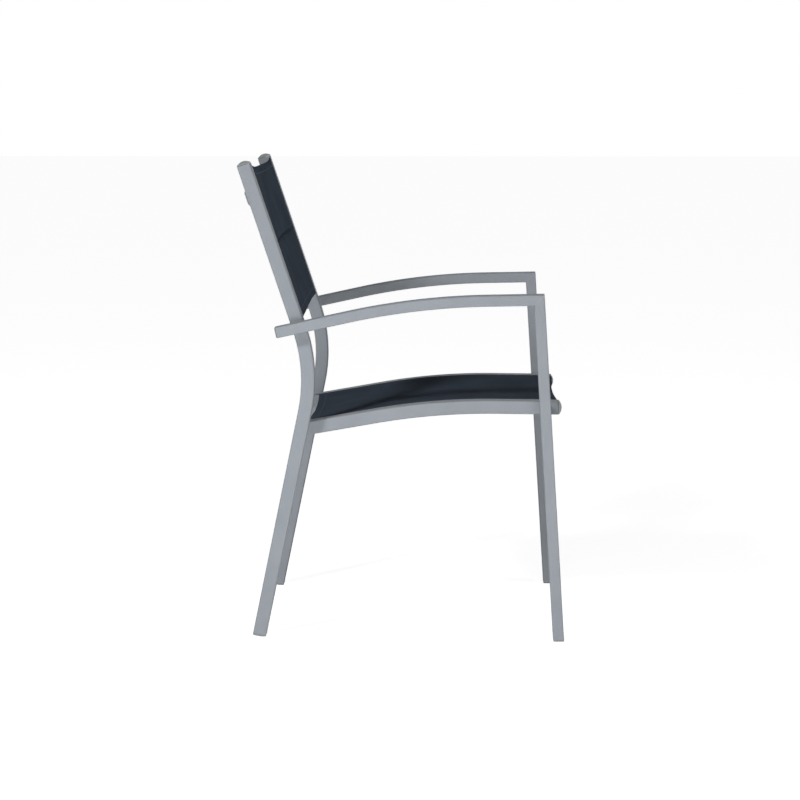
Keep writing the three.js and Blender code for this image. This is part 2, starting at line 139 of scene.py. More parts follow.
@dataclass(frozen=True)
class Finish:
    """What every finish of the chair has: a name and the numbers of its shader."""

    name: str
    tone: str
    shade: str
    roughness: float
    low: float = 0.3
    high: float = 0.7

    def new_tree(self) -> tuple[bpy.types.Material, bpy.types.NodeTree]:
        """Start an empty material under the finish's name."""
        material = bpy.data.materials.new(self.name)
        material.use_nodes = True
        material.node_tree.nodes.clear()
        return material, material.node_tree

    def skin(
        self,
        tree: bpy.types.NodeTree,
        pattern: bpy.types.NodeSocket,
        height: bpy.types.NodeSocket,
        depth_mm: float,
        settings: dict[str | int, Any] | None = None,
        links: dict[str | int, bpy.types.NodeSocket] | None = None,
    ) -> None:
        """Colour the surface by one pattern, raise it by another and end the tree.

        Args:
            tree: The finish's tree.
            pattern: What blends the shade into the tone, from low to high.
            height: The relief, from 0 to 1.
            depth_mm: The real height that 1 stands for.
            settings: More values for the shader's own sockets.
            links: More sockets that feed the shader.
        """
        share = add_node(
            tree,
            "ShaderNodeMapRange",
            {"From Min": self.low, "From Max": self.high},
            {"Value": pattern},
        )
        colour = add_node(
            tree,
            "ShaderNodeMix",
            {"data_type": "RGBA", 6: linear(self.shade), 7: linear(self.tone)},
            {0: share.outputs["Result"]},
        )
        relief = add_node(
            tree, "ShaderNodeBump", {"Distance": depth_mm * MM}, {"Height": height}
        )
        shader = add_node(
            tree,
            "ShaderNodeBsdfPrincipled",
            {"Roughness": self.roughness, **(settings or {})},
            {
                "Base Color": colour.outputs[2],
                "Normal": relief.outputs["Normal"],
                **(links or {}),
            },
        )
        add_node(
            tree, "ShaderNodeOutputMaterial", links={"Surface": shader.outputs["BSDF"]}
        )


@dataclass(frozen=True)
class PowderCoat(Finish):
    """Powder-coated aluminium: sprayed dry and baked, a satin skin with a fine peel."""

    gloss: float = 0.3
    peel_mm: float = 1.8
    peel_depth_mm: float = 0.03
    cloud_mm: float = 60.0
    grain_mm: float = 2.6
    grain_share: float = 0.35
    satin_spread: float = 0.06

    def material(self) -> bpy.types.Material:
        """Build the coat: soft clouds, a faint grain and the peel of the bake."""
        material, tree = self.new_tree()
        place = {"Vector": add_node(tree, "ShaderNodeTexCoord").outputs["Object"]}
        # The peel is far finer on a real coat and is drawn coarse enough to show.
        clouds, grain, peel = (
            add_node(
                tree,
                "ShaderNodeTexNoise",
                {"Scale": per_metre(size_mm), "Detail": detail},
                place,
            ).outputs[0]
            for size_mm, detail in (
                (self.cloud_mm, 2.0),
                (self.grain_mm, 4.0),
                (self.peel_mm, 2.0),
            )
        )
        both = add_node(
            tree,
            "ShaderNodeMix",
            {"data_type": "FLOAT", "Factor": self.grain_share},
            {"A": clouds, "B": grain},
        )
        satin = add_node(
            tree,
            "ShaderNodeMapRange",
            {
                "To Min": self.roughness - self.satin_spread,
                "To Max": self.roughness + self.satin_spread,
            },
            {"Value": grain},
        )
        self.skin(
            tree,
            both.outputs[0],
            peel,
            self.peel_depth_mm,
            {"Specular IOR Level": self.gloss},
            {"Roughness": satin.outputs["Result"]},
        )
        return material


@dataclass(frozen=True)
class MouldedPlastic(Finish):
    """Injection-moulded polypropylene: dull, even, with a fine sparked grain."""

    low: float = 0.25
    high: float = 0.75
    grain_mm: float = 0.9
    grain_depth_mm: float = 0.025
    cloud_mm: float = 14.0

    def material(self) -> bpy.types.Material:
        """Build the moulded skin: an even grey with a dull grain."""
        material, tree = self.new_tree()
        place = {"Vector": add_node(tree, "ShaderNodeTexCoord").outputs["Object"]}
        clouds, grain = (
            add_node(
                tree,
                "ShaderNodeTexNoise",
                {"Scale": per_metre(size_mm), "Detail": detail},
                place,
            ).outputs[0]
            for size_mm, detail in ((self.cloud_mm, 2.0), (self.grain_mm, 3.0))
        )
        self.skin(tree, clouds, grain, self.grain_depth_mm)
        return material


@dataclass(frozen=True)
class CoatedMesh(Finish):
    """Sling fabric: polyester yarn in a vinyl skin, woven plain and heat set."""

    low: float = 0.2
    high: float = 0.85
    yarn_mm: float = 1.7
    yarn_depth_mm: float = 0.22
    crown_power: float = 0.6
    cloud_mm: float = 85.0
    gloss: float = 0.0005
    gloss_tone: str = "#E8F4FF"
    base_share: float = 0.15
    cloud_share: float = 0.45
    weave_share: float = 0.09
    # How much the yarn crowns lift the colour: painted shade in the gaps between yarns.
    painted_gap_shade_share: float = 0.3

    def material(self) -> bpy.types.Material:
        """Build the weave: yarns that pass over and under, in two dark tones."""
        material, tree = self.new_tree()
        uv = add_node(tree, "ShaderNodeUVMap", {"uv_map": CLOTH_MAP})
        split = add_node(tree, "ShaderNodeSeparateXYZ", links={0: uv.outputs["UV"]})
        place = add_node(tree, "ShaderNodeTexCoord").outputs["Object"]
        # A yarn of the real cloth is near 1 mm and is drawn coarser, so that it shows.
        turn = math.pi * per_metre(self.yarn_mm)
        waves = []
        for axis in ("X", "Y"):
            phase = add_node(
                tree,
                "ShaderNodeMath",
                {"operation": "MULTIPLY", 1: turn},
                {0: split.outputs[axis]},
            )
            waves.append(
                add_node(
                    tree, "ShaderNodeMath", {"operation": "SINE"}, {0: phase.outputs[0]}
                ).outputs[0]
            )
        cell = add_node(
            tree, "ShaderNodeMath", {"operation": "MULTIPLY"}, dict(enumerate(waves))
        ).outputs[0]
        size = add_node(tree, "ShaderNodeMath", {"operation": "ABSOLUTE"}, {0: cell})
        crown = add_node(
            tree,
            "ShaderNodeMath",
            {"operation": "POWER", 1: self.crown_power},
            {0: size.outputs[0]},
        ).outputs[0]
        clouds = add_node(
            tree,
            "ShaderNodeTexNoise",
            {"Scale": per_metre(self.cloud_mm)},
            {"Vector": place},
        ).outputs[0]
        # Clouds of wear, then the two yarn directions, then each yarn's raised crown,
        # which lightens the crowns and paints shade into the low gaps between the
        # yarns.
        pattern: dict[int, bpy.types.NodeSocket] = {}
        for layer, weight in (
            (clouds, self.cloud_share),
            (cell, self.weave_share),
            (crown, self.painted_gap_shade_share),
        ):
            summed = add_node(
                tree,
                "ShaderNodeMath",
                {"operation": "MULTIPLY_ADD", 1: weight, 2: self.base_share},
                {0: layer, **pattern},
            )
            pattern = {2: summed.outputs[0]}
        self.skin(
            tree,
            pattern[2],
            crown,
            self.yarn_depth_mm,
            {
                "Specular IOR Level": self.gloss,
                "Specular Tint": linear(self.gloss_tone),
            },
        )
        return material


@dataclass(frozen=True)
class Thread(Finish):
    """Bonded polyester sewing thread: tight and dull."""

    twist_mm: float = 0.6
    twist_depth_mm: float = 0.05

    def material(self) -> bpy.types.Material:
        """Build the thread with the grain of its twist."""
        material, tree = self.new_tree()
        place = add_node(tree, "ShaderNodeTexCoord").outputs["Object"]
        grain = add_node(
            tree,
            "ShaderNodeTexNoise",
            {"Scale": per_metre(self.twist_mm)},
            {"Vector": place},
        ).outputs[0]
        self.skin(tree, grain, grain, self.twist_depth_mm)
        return material


# Lines and sections


def heading(angle: np.ndarray | float) -> np.ndarray:
    """The direction at an angle from +Y towards +Z, as (y, z)."""
    return np.stack([np.cos(angle), np.sin(angle)], axis=-1)


def arc(
    centre: Sequence[float], radius: float, start: float, end: float, steps: int
) -> np.ndarray:
    """Points on an arc.

    Args:
        centre: The middle of the arc.
        radius: The arc's radius.
        start: The first angle, in radians.
        end: The last angle, in radians.
        steps: How many pieces the arc is cut into.

    Returns:
        The points, one a row.
    """
    return np.asarray(centre) + radius * heading(np.linspace(start, end, steps + 1))


@dataclass(frozen=True)
class BentLine:
    """A line in the side view: a straight, a bend and a straight, in millimetres."""

    corner: tuple[float, float]
    start_angle: float
    end_angle: float
    radius: float
    start_reach: float
    end_reach: float

    @property
    def trim(self) -> float:
        """From the corner to where the bend starts."""
        return self.radius * math.tan(abs(self.end_angle - self.start_angle) / 2)

    @property
    def bend_start(self) -> float:
        """The distance at which the bend starts."""
        return self.start_reach - self.trim

    @property
    def bend_end(self) -> float:
        """The distance at which the bend ends."""
        turn = abs(self.end_angle - self.start_angle)
        return self.bend_start + self.radius * turn

    @property
    def length(self) -> float:
        """The whole length of the line."""
        return self.bend_end + self.end_reach - self.trim

    def at(self, distance: Any) -> tuple[np.ndarray, np.ndarray, np.ndarray]:
        """Places along the line.

        Args:
            distance: One distance or an array of them.

        Returns:
            The points, the directions and the normals on the left, one a row.
        """
        reach = np.atleast_1d(np.asarray(distance, dtype=float))
        sense = math.copysign(1.0, self.end_angle - self.start_angle)
        on_bend = np.clip(reach, self.bend_start, self.bend_end) - self.bend_start
        turned = sense * on_bend / self.radius if self.radius else 0 * on_bend
        along = heading(self.start_angle + turned)
        across = np.stack([-along[:, 1], along[:, 0]], axis=-1)
        first = heading(self.start_angle)
        foot = np.asarray(self.corner) + first * (self.bend_start - self.start_reach)
        centre = foot + sense * self.radius * np.array([-first[1], first[0]])
        point = centre - sense * self.radius * across
        beyond = np.minimum(reach - self.bend_start, 0)
        beyond = beyond + np.maximum(reach - self.bend_end, 0)
        return point + along * beyond[:, None], along, across

    def stations(self, start: float, end: float, step: float) -> np.ndarray:
        """Distances from one place to another, close together on the bend only.

        Args:
            start: The first distance.
            end: The last distance.
            step: The spacing on the bend.

        Returns:
            The distances in order.
        """
        count = max(2, math.ceil((self.bend_end - self.bend_start) / step))
        bend = np.linspace(self.bend_start, self.bend_end, count + 1)
        inside = bend[(bend > start + step / 4) & (bend < end - step / 4)]
        return np.concatenate([[start], inside, [end]])


@dataclass(frozen=True)
class Section:
    """The section of a tube: an outer contour and its bores, all anticlockwise."""

    outer: np.ndarray
    bores: tuple[np.ndarray, ...] = ()

    def contours(self) -> tuple[np.ndarray, ...]:
        """The outer contour and then the bores."""
        return (self.outer, *self.bores)

    def lids(self) -> list[tuple[int, ...]]:
        """Triangles that close the section, by the numbers of its points."""
        loops = [
            [Vector((x, y, 0.0)) for x, y in contour] for contour in self.contours()
        ]
        return [tuple(face) for face in tessellate_polygon(loops)]


QUARTER = math.pi / 2
HOLD = 0.35  # millimetres of a flat beside a round corner, so that it shades flat


def round_corner(
    centre: Sequence[float],
    radius: float,
    quarter: int,
    steps: int,
    lead: bool = True,
    tail: bool = True,
) -> np.ndarray:
    """A round corner of a section, with a point on each flat beside it.

    Args:
        centre: The middle of the corner's arc.
        radius: The arc's radius.
        quarter: How many quarter turns lie before the arc.
        steps: How many pieces the arc is cut into.
        lead: Whether the flat before the corner gets its point.
        tail: Whether the flat behind the corner gets its point.

    Returns:
        The points, anticlockwise.
    """
    start = quarter * QUARTER
    points = arc(centre, radius, start, start + QUARTER, steps)
    before = [points[0] + heading(start - QUARTER) * HOLD] if lead else []
    after = [points[-1] + heading(start + math.pi) * HOLD] if tail else []
    return np.array([*before, *points, *after])


def rounded_rectangle(
    width: float, height: float, radius: float, steps: int = 6
) -> np.ndarray:
    """The outline of a rectangle with round corners.

    Args:
        width: Its size along x.
        height: Its size along y.
        radius: The corners' radius.
        steps: How many pieces a corner is cut into.

    Returns:
        The points, anticlockwise.
    """
    x, y = width / 2 - radius, height / 2 - radius
    room = min(x, y) > 2 * HOLD
    centres = ((x, y), (-x, y), (-x, -y), (x, -y))
    return np.vstack(
        [
            round_corner(centre, radius, quarter, steps, room, room)
            for quarter, centre in enumerate(centres)
        ]
    )


def hollow(width: float, height: float, radius: float, wall: float) -> Section:
    """The section of a plain tube with round corners.

    Args:
        width: Its size along x.
        height: Its size along y.
        radius: The outer corners' radius.
        wall: The wall's thickness.

    Returns:
        The section.
    """
    inner = max(radius - wall, wall / 2)
    bore = rounded_rectangle(width - 2 * wall, height - 2 * wall, inner)
    return Section(rounded_rectangle(width, height, radius), (bore,))


@dataclass(frozen=True)
class SlingProfile:
    """The sling extrusion: a hollow tube with a keyhole groove at one corner.

    In its section x points away from the middle of the chair, y towards the sitter.
    """

    width: float = 30.0
    depth: float = 24.5
    wall: float = 1.6
    corner: float = 2.4
    show_corner: float = 2.9
    groove_inset: float = 4.4
    groove_radius: float = 3.0
    groove_mouth: float = 1.9
    cloth_drop: float = 0.6
    groove_wall: float = 1.5
    groove_angle: float = math.radians(135)
    lip_round: float = 0.45
    show_steps: int = 8
    corner_steps: int = 6
    lip_steps: int = 3
    groove_steps: int = 22
    chamber_steps: tuple[int, int] = (4, 10)

    @property
    def groove_centre(self) -> np.ndarray:
        """The middle of the groove in the section."""
        return np.array(
            [self.groove_inset - self.width / 2, self.depth / 2 - self.groove_inset]
        )

    def section(self) -> Section:
        """The section with its groove and its chamber."""
        right, front = self.width / 2, self.depth / 2
        lip = self.groove_mouth / math.sqrt(2)
        half = math.asin(self.groove_mouth / 2 / self.groove_radius)
        show, lip_round = self.show_corner, self.lip_round
        x, y = right - self.corner, front - self.corner
        lips = (
            (lip - right + lip_round, front - lip_round),
            (lip_round - right, front - lip - lip_round),
        )
        groove = arc(
            self.groove_centre,
            self.groove_radius,
            self.groove_angle - half,
            self.groove_angle + half - 2 * math.pi,
            self.groove_steps,
        )
        outer = np.vstack(
            [
                round_corner((right - show, front - show), show, 0, self.show_steps),
                round_corner(lips[0], lip_round, 1, self.lip_steps, tail=False),
                groove,
                round_corner(lips[1], lip_round, 1, self.lip_steps, lead=False),
                round_corner((-x, -y), self.corner, 2, self.corner_steps),
                round_corner((x, -y), self.corner, 3, self.corner_steps),
            ]
        )
        return Section(outer, (self.chamber(),))

    def chamber(self) -> np.ndarray:
        """The hollow, which keeps one wall from the faces and one from the groove."""
        right, front = self.width / 2 - self.wall, self.depth / 2 - self.wall
        keep = self.groove_radius + self.groove_wall
        to_front = math.asin((front - self.groove_centre[1]) / keep)
        to_side = math.acos((-right - self.groove_centre[0]) / keep)
        show = (right - self.wall, front - self.wall)
        show_steps, groove_steps = self.chamber_steps
        return np.vstack(
            [
                arc(show, self.wall, 0, QUARTER, show_steps),
                arc(self.groove_centre, keep, to_front, -to_side, groove_steps),
                [[-right, -front], [right, -front]],
            ]
        )


@dataclass(frozen=True)
class Layer:
    """One of the three layers across the chair: a side and a distance from X = 0."""

    side: Side
    x: float

    def place(
        self,
        line: BentLine,
        distance: Any,
        offsets: np.ndarray,
        shift: np.ndarray | float = 0.0,
    ) -> np.ndarray:
        """Places of section points in the part's frame.

        Args:
            line: The line that the section rides on.
            distance: One distance, or one for each point.
            offsets: The section's points, one a row.
            shift: How far each point moves along the line.

        Returns:
            The points in millimetres, one a row.
        """
        point, along, across = line.at(distance)
        flat = point + across * offsets[:, 1:2] + along * np.reshape(shift, (-1, 1))
        x = self.side.value * (self.x + offsets[:, 0])
        return np.column_stack([x, flat])


@dataclass(frozen=True)
class Mitre:
    """A cut through a point in the side view that needn't be square to the line."""

    point: np.ndarray
    normal: np.ndarray

    def shift(self, line: BentLine, distance: float, offsets: np.ndarray) -> np.ndarray:
        """How far section points move along the line to reach the cut."""
        point, along, across = line.at(distance)
        places = point + across * offsets[:, 1:2]
        return (self.point - places) @ self.normal / float(along[0] @ self.normal)


@dataclass
class Solid:
    """Vertices in millimetres and faces, on their way to becoming a piece."""

    vertices: np.ndarray
    faces: list[tuple[int, ...]]

    @staticmethod
    def loft(rings: Sequence[np.ndarray], section: Section) -> "Solid":
        """A closed body through rings that all have the section's points.

        Args:
            rings: The section's points at each station, in space.
            section: The section, which closes the two ends.

        Returns:
            The body.
        """
        size = sum(len(contour) for contour in section.contours())
        faces: list[tuple[int, ...]] = []
        for i in range(len(rings) - 1):
            start = i * size
            for contour in section.contours():
                count = len(contour)
                for j in range(count):
                    a, b = start + j, start + (j + 1) % count
                    faces.append((a, b, b + size, a + size))
                start += count
        last = (len(rings) - 1) * size
        for lid in section.lids():
            faces.append(lid)
            faces.append(tuple(n + last for n in lid))
        return Solid(np.vstack(rings), faces)

    @staticmethod
    def over_rings(rings: np.ndarray, closed: bool) -> "Solid":
        """The surface over rings of points.

        Args:
            rings: Stations, points of a ring and coordinates.
            closed: Whether the last ring joins the first.

        Returns:
            The body.
        """
        count, sides = rings.shape[:2]
        faces: list[tuple[int, ...]] = []
        for i in range(count if closed else count - 1):
            for j in range(sides):
                a, b = i * sides + j, i * sides + (j + 1) % sides
                shift = ((i + 1) % count - i) * sides
                faces.append((a, b, b + shift, a + shift))
        if not closed:
            faces.append(tuple(range(sides)))
            faces.append(tuple((count - 1) * sides + j for j in range(sides)))
        return Solid(rings.reshape(-1, 3), faces)

    @staticmethod
    def joined(parts: Sequence["Solid"]) -> "Solid":
        """Several bodies as one."""
        faces: list[tuple[int, ...]] = []
        start = 0
        for part in parts:
            faces += [tuple(n + start for n in face) for face in part.faces]
            start += len(part.vertices)
        return Solid(np.vstack([part.vertices for part in parts]), faces)


@dataclass
class Piece:
    """Turns a solid into an object of the scene that rides on the chair."""

    name: str
    solid: Solid
    material: bpy.types.Material
    slot: Slot
    node: str | None = None
    crease_deg: float = 38.0
    floor_cut: bool = False
    uv: np.ndarray | None = None

    def build(self) -> bpy.types.Object:
        """Make the mesh, shade it and hang it on the chair.

        Returns:
            The new object.
        """
        mesh = bpy.data.meshes.new(self.name)
        mesh.from_pydata((self.solid.vertices * MM).tolist(), [], self.solid.faces)
        body = bmesh.new()
        body.from_mesh(mesh)
        if self.uv is not None:
            layer = body.loops.layers.uv.new(CLOTH_MAP)
            body.verts.ensure_lookup_table()
            for face in body.faces:
                for loop in face.loops:
                    loop[layer].uv = self.uv[loop.vert.index]
        if self.floor_cut:
            self.trim_to_floor(body)
        bmesh.ops.recalc_face_normals(body, faces=body.faces)
        body.to_mesh(mesh)
        body.free()
        mesh.polygons.foreach_set("use_smooth", [True] * len(mesh.polygons))
        mesh.set_sharp_from_angle(angle=math.radians(self.crease_deg))
        mesh.materials.append(self.material)
        piece = bpy.data.objects.new(self.name, mesh)
        bpy.context.scene.collection.objects.link(piece)
        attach(piece, BODY)
        if self.node:
            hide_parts(self.node)
        log.info("%s: %d faces", self.name, len(mesh.polygons))
        return piece

    @staticmethod
    def trim_to_floor(body: bmesh.types.BMesh) -> None:
        """Cut off what lies below the floor and close the cut."""
        everything = [*body.verts, *body.edges, *body.faces]
        bmesh.ops.bisect_plane(
            body,
            geom=everything,
            plane_co=(0, 0, 0),
            plane_no=(0, 0, 1),
            clear_inner=True,
        )
        rim = [edge for edge in body.edges if edge.is_boundary]
        bmesh.ops.contextual_create(body, geom=rim)


# The chair's own lines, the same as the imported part's


@dataclass(frozen=True)
class ChairLines:
    """The centrelines of the frame in the side view and the layers across it."""

    seat_width: float = 380.0
    profile: SlingProfile = SlingProfile()
    tube_width: float = 30.0
    tube_depth: float = 19.8
    tube_wall: float = 1.6
    tube_corner: float = 2.4
    foot_lift: float = 1.5
    weld_gap: float = 0.3
    front_foot_y: float = -290.2
    front_leg_rake: float = math.radians(3.63)
    rear_leg_rake: float = math.radians(11.64)
    post_rake: float = math.radians(18.52)
    upright_bend: tuple[float, float] = (158.6, 494.9)
    upright_bend_radius: float = 291.0
    post_reach: float = 390.6
    arm_front_fall: float = math.radians(1.1)
    arm_rear_fall: float = math.radians(12.34)
    arm_bend: tuple[float, float] = (-30.5, 620.8)
    arm_bend_radius: float = 1299.0
    arm_rear_reach: float = 259.4
    rail_front_rise: float = math.radians(0.54)
    rail_rear_fall: float = math.radians(9.99)
    rail_bend: tuple[float, float] = (-62.8, 424.6)
    rail_bend_radius: float = 1212.0
    rail_front_reach: float = 225.2
    rail_rear_reach: float = 250.6

    @property
    def rail_x(self) -> float:
        """The middle of the seat rail's layer."""
        return (self.seat_width + self.profile.width) / 2

    @property
    def upright_x(self) -> float:
        """The middle of the upright's layer."""
        return self.rail_x + self.profile.width

    @property
    def arm_x(self) -> float:
        """The middle of the layer of arm and front leg."""
        return self.upright_x + (self.profile.width + self.tube_width) / 2

    @property
    def centring(self) -> float:
        """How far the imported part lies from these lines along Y."""
        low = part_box("front_leg_left")[0][1] / MM
        start = self.leg_raw.at(0)[0][0]
        return low - (start[0] - self.tube_depth / 2 * math.cos(self.front_leg_rake))

    @property
    def leg_heading(self) -> np.ndarray:
        """The front leg's direction on its way up."""
        return heading(QUARTER - self.front_leg_rake)

    @property
    def arm_corner_raw(self) -> np.ndarray:
        """Where the lines of arm and front leg meet, before centring."""
        foot = np.array([self.front_foot_y, 0.0])
        bend = np.array(self.arm_bend)
        fall = heading(-self.arm_front_fall)
        normal = np.array([-fall[1], fall[0]])
        reach = (bend - foot) @ normal / (self.leg_heading @ normal)
        return foot + self.leg_heading * reach

    @property
    def leg_raw(self) -> BentLine:
        """The front leg's line before centring."""
        corner = self.arm_corner_raw
        rise = self.foot_lift + self.tube_depth / 2 * math.sin(self.front_leg_rake)
        angle = QUARTER - self.front_leg_rake
        reach = (corner[1] - rise) / math.cos(self.front_leg_rake)
        return BentLine(tuple(corner), angle, angle, 0.0, reach, 0.0)

    def centred(self, corner: Sequence[float]) -> tuple[float, float]:
        """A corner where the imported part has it."""
        return corner[0] + self.centring, corner[1]

    def leg(self) -> BentLine:
        """The front leg, one straight from the floor to the arm."""
        raw = self.leg_raw
        return replace(raw, corner=self.centred(raw.corner))

    def arm(self) -> BentLine:
        """The arm, nearly level and then falling to the rear."""
        gap = np.linalg.norm(self.arm_corner_raw - np.array(self.arm_bend))
        return BentLine(
            self.centred(self.arm_bend),
            -self.arm_front_fall,
            -self.arm_rear_fall,
            self.arm_bend_radius,
            float(gap),
            self.arm_rear_reach,
        )

    def rail(self) -> BentLine:
        """The seat rail, level at the front and falling at the rear."""
        return BentLine(
            self.centred(self.rail_bend),
            self.rail_front_rise,
            -self.rail_rear_fall,
            self.rail_bend_radius,
            self.rail_front_reach,
            self.rail_rear_reach,
        )

    def upright(self) -> BentLine:
        """The upright, a rear leg that bends into a back post."""
        rise = self.foot_lift + self.profile.depth / 2 * math.sin(self.rear_leg_rake)
        return BentLine(
            self.centred(self.upright_bend),
            QUARTER + self.rear_leg_rake,
            QUARTER - self.post_rake,
            self.upright_bend_radius,
            (self.upright_bend[1] - rise) / math.cos(self.rear_leg_rake),
            self.post_reach,
        )

    def mitre(self, side: float) -> Mitre:
        """The cut between arm and front leg, on one side of the weld gap."""
        normal = heading(-self.arm_front_fall) + self.leg_heading
        normal = normal / np.linalg.norm(normal)
        corner = np.array(self.centred(self.arm_corner_raw))
        return Mitre(corner + normal * side * self.weld_gap / 2, normal)

    def plain_tube(self) -> Section:
        """The section of the arm and the front leg."""
        return hollow(
            self.tube_width, self.tube_depth, self.tube_corner, self.tube_wall
        )

    def front_crossing(self) -> float:
        """The distance along the rail at which the front leg crosses it."""
        leg, rail = self.leg(), self.rail()
        point, along, _ = rail.at(0)
        normal = np.array([-along[0][1], along[0][0]])
        foot = leg.at(0)[0][0]
        reach = (point[0] - foot) @ normal / (self.leg_heading @ normal)
        return float(np.linalg.norm(foot + self.leg_heading * reach - point[0]))


Station = tuple[np.ndarray, np.ndarray, np.ndarray]


def ring_across(
    section: Section, station: Station, x: float, offset: float
) -> np.ndarray:
    """One ring of a tube that runs along X.

    Args:
        section: The tube's section, x along the station, y along its normal.
        station: The place in the side view that carries it.
        x: The ring's place across the chair.
        offset: How far the ring lies from the station along the normal.

    Returns:
        The points in millimetres, one a row.
    """
    point, along, across = (part[0] for part in station)
    offsets = np.vstack(section.contours())
    flat = point + offsets[:, :1] * along + (offsets[:, 1:] + offset) * across
    return np.column_stack([np.full(len(flat), x), flat])


@dataclass(frozen=True)
class Crossbar:
    """A bowed tube across the chair: its ends' offset and its middle's bow."""

    section: Section
    station: Station
    half: float
    offset: float
    bow: float

    def build(self, steps: int) -> Solid:
        """Build the tube, symmetrical about X = 0, in a number of steps."""
        radius = (self.half**2 + self.bow**2) / (2 * abs(self.bow))
        rings = []
        for x in np.linspace(-self.half, self.half, steps + 1):
            fall = radius - math.sqrt(radius**2 - x**2)
            lift = self.bow - math.copysign(fall, self.bow)
            rings.append(ring_across(self.section, self.station, x, self.offset + lift))
        return Solid.loft(rings, self.section)


@dataclass
class Tubes:
    """The welded tubes of the frame."""

    lines: ChairLines
    coat: bpy.types.Material
    bend_step: float = 7.0
    seat_bar_depth: float = 24.0
    seat_bar_height: float = 14.0
    seat_bar_bow: float = 16.0
    seat_bar_drop: float = 3.5
    rear_bar_inset: float = 38.0
    back_bar_height: float = 31.0
    back_bar_depth: float = 14.0
    back_bar_bow: float = 25.0
    back_bar_setback: float = 2.0
    back_bar_inset: float = 61.3
    spacer_depth: float = 14.0
    spacer_height: float = 17.0
    oval_share: float = 0.46
    bar_steps: int = 36

    def swept(
        self,
        section: Section,
        line: BentLine,
        layer: Layer,
        start: Mitre | None = None,
        end: Mitre | None = None,
    ) -> Solid:
        """A tube along a whole line.

        Args:
            section: The tube's section.
            line: The line that it follows.
            layer: Its layer across the chair.
            start: The cut at its start, if that isn't square.
            end: The cut at its end, if that isn't square.

        Returns:
            The tube.
        """
        offsets = np.vstack(section.contours())
        distances = line.stations(0, line.length, self.bend_step)
        rings = []
        for i, distance in enumerate(distances):
            cut = start if i == 0 else end if i == len(distances) - 1 else None
            shift = cut.shift(line, distance, offsets) if cut else 0.0
            rings.append(layer.place(line, distance, offsets, shift))
        return Solid.loft(rings, section)

    def oval(self, width: float, height: float) -> Section:
        """The section of a flat oval tube."""
        radius = self.oval_share * min(width, height)
        return hollow(width, height, radius, self.lines.tube_wall)

    def bars(self) -> dict[str, "Crossbar"]:
        """The two crossbars under the seat and the one behind the back, by name."""
        lines = self.lines
        rail, upright = lines.rail(), lines.upright()
        under = {
            name: Crossbar(
                self.oval(self.seat_bar_depth, self.seat_bar_height),
                rail.at(distance),
                lines.seat_width / 2,
                -self.seat_bar_drop,
                -self.seat_bar_bow,
            )
            for name, distance in (
                ("front_crossbar", lines.front_crossing()),
                ("rear_crossbar", rail.length - self.rear_bar_inset),
            )
        }
        behind = Crossbar(
            self.oval(self.back_bar_height, self.back_bar_depth),
            upright.at(upright.length - self.back_bar_inset),
            lines.upright_x - lines.profile.width / 2,
            -self.back_bar_setback,
            -self.back_bar_bow,
        )
        return {**under, "back_crossbar": behind}

    def spacer_section(self) -> Section:
        """The section of the spacer between rail and front leg."""
        lines = self.lines
        return hollow(
            self.spacer_depth, self.spacer_height, lines.tube_corner, lines.tube_wall
        )

    def spacer(self, side: Side) -> Solid:
        """The short tube between the seat rail and the front leg."""
        lines = self.lines
        station = lines.rail().at(lines.front_crossing())
        ends = (
            lines.rail_x + lines.profile.width / 2,
            lines.arm_x - lines.tube_width / 2,
        )
        section = self.spacer_section()
        rings = [ring_across(section, station, side.value * x, 0.0) for x in ends]
        return Solid.loft(rings, section)

    def make(self, name: str, solid: Solid) -> None:
        """Add one tube under the name of its node."""
        Piece(f"tube_{name}", solid, self.coat, Slot.FRAME, name).build()

    def build(self) -> None:
        """Build every tube of the frame."""
        lines = self.lines
        grooved = lines.profile.section()
        plain = lines.plain_tube()
        runs = {
            "seat_rail": (grooved, lines.rail(), lines.rail_x, None, None),
            "upright": (grooved, lines.upright(), lines.upright_x, None, None),
            "arm": (plain, lines.arm(), lines.arm_x, lines.mitre(1), None),
            "front_leg": (plain, lines.leg(), lines.arm_x, None, lines.mitre(-1)),
        }
        for side in Side:
            for name, (section, line, x, start, end) in runs.items():
                tube = self.swept(section, line, Layer(side, x), start, end)
                self.make(f"{name}_{side.label}", tube)
            self.make(f"front_spacer_{side.label}", self.spacer(side))
        for name, bar in self.bars().items():
            self.make(name, bar.build(self.bar_steps))


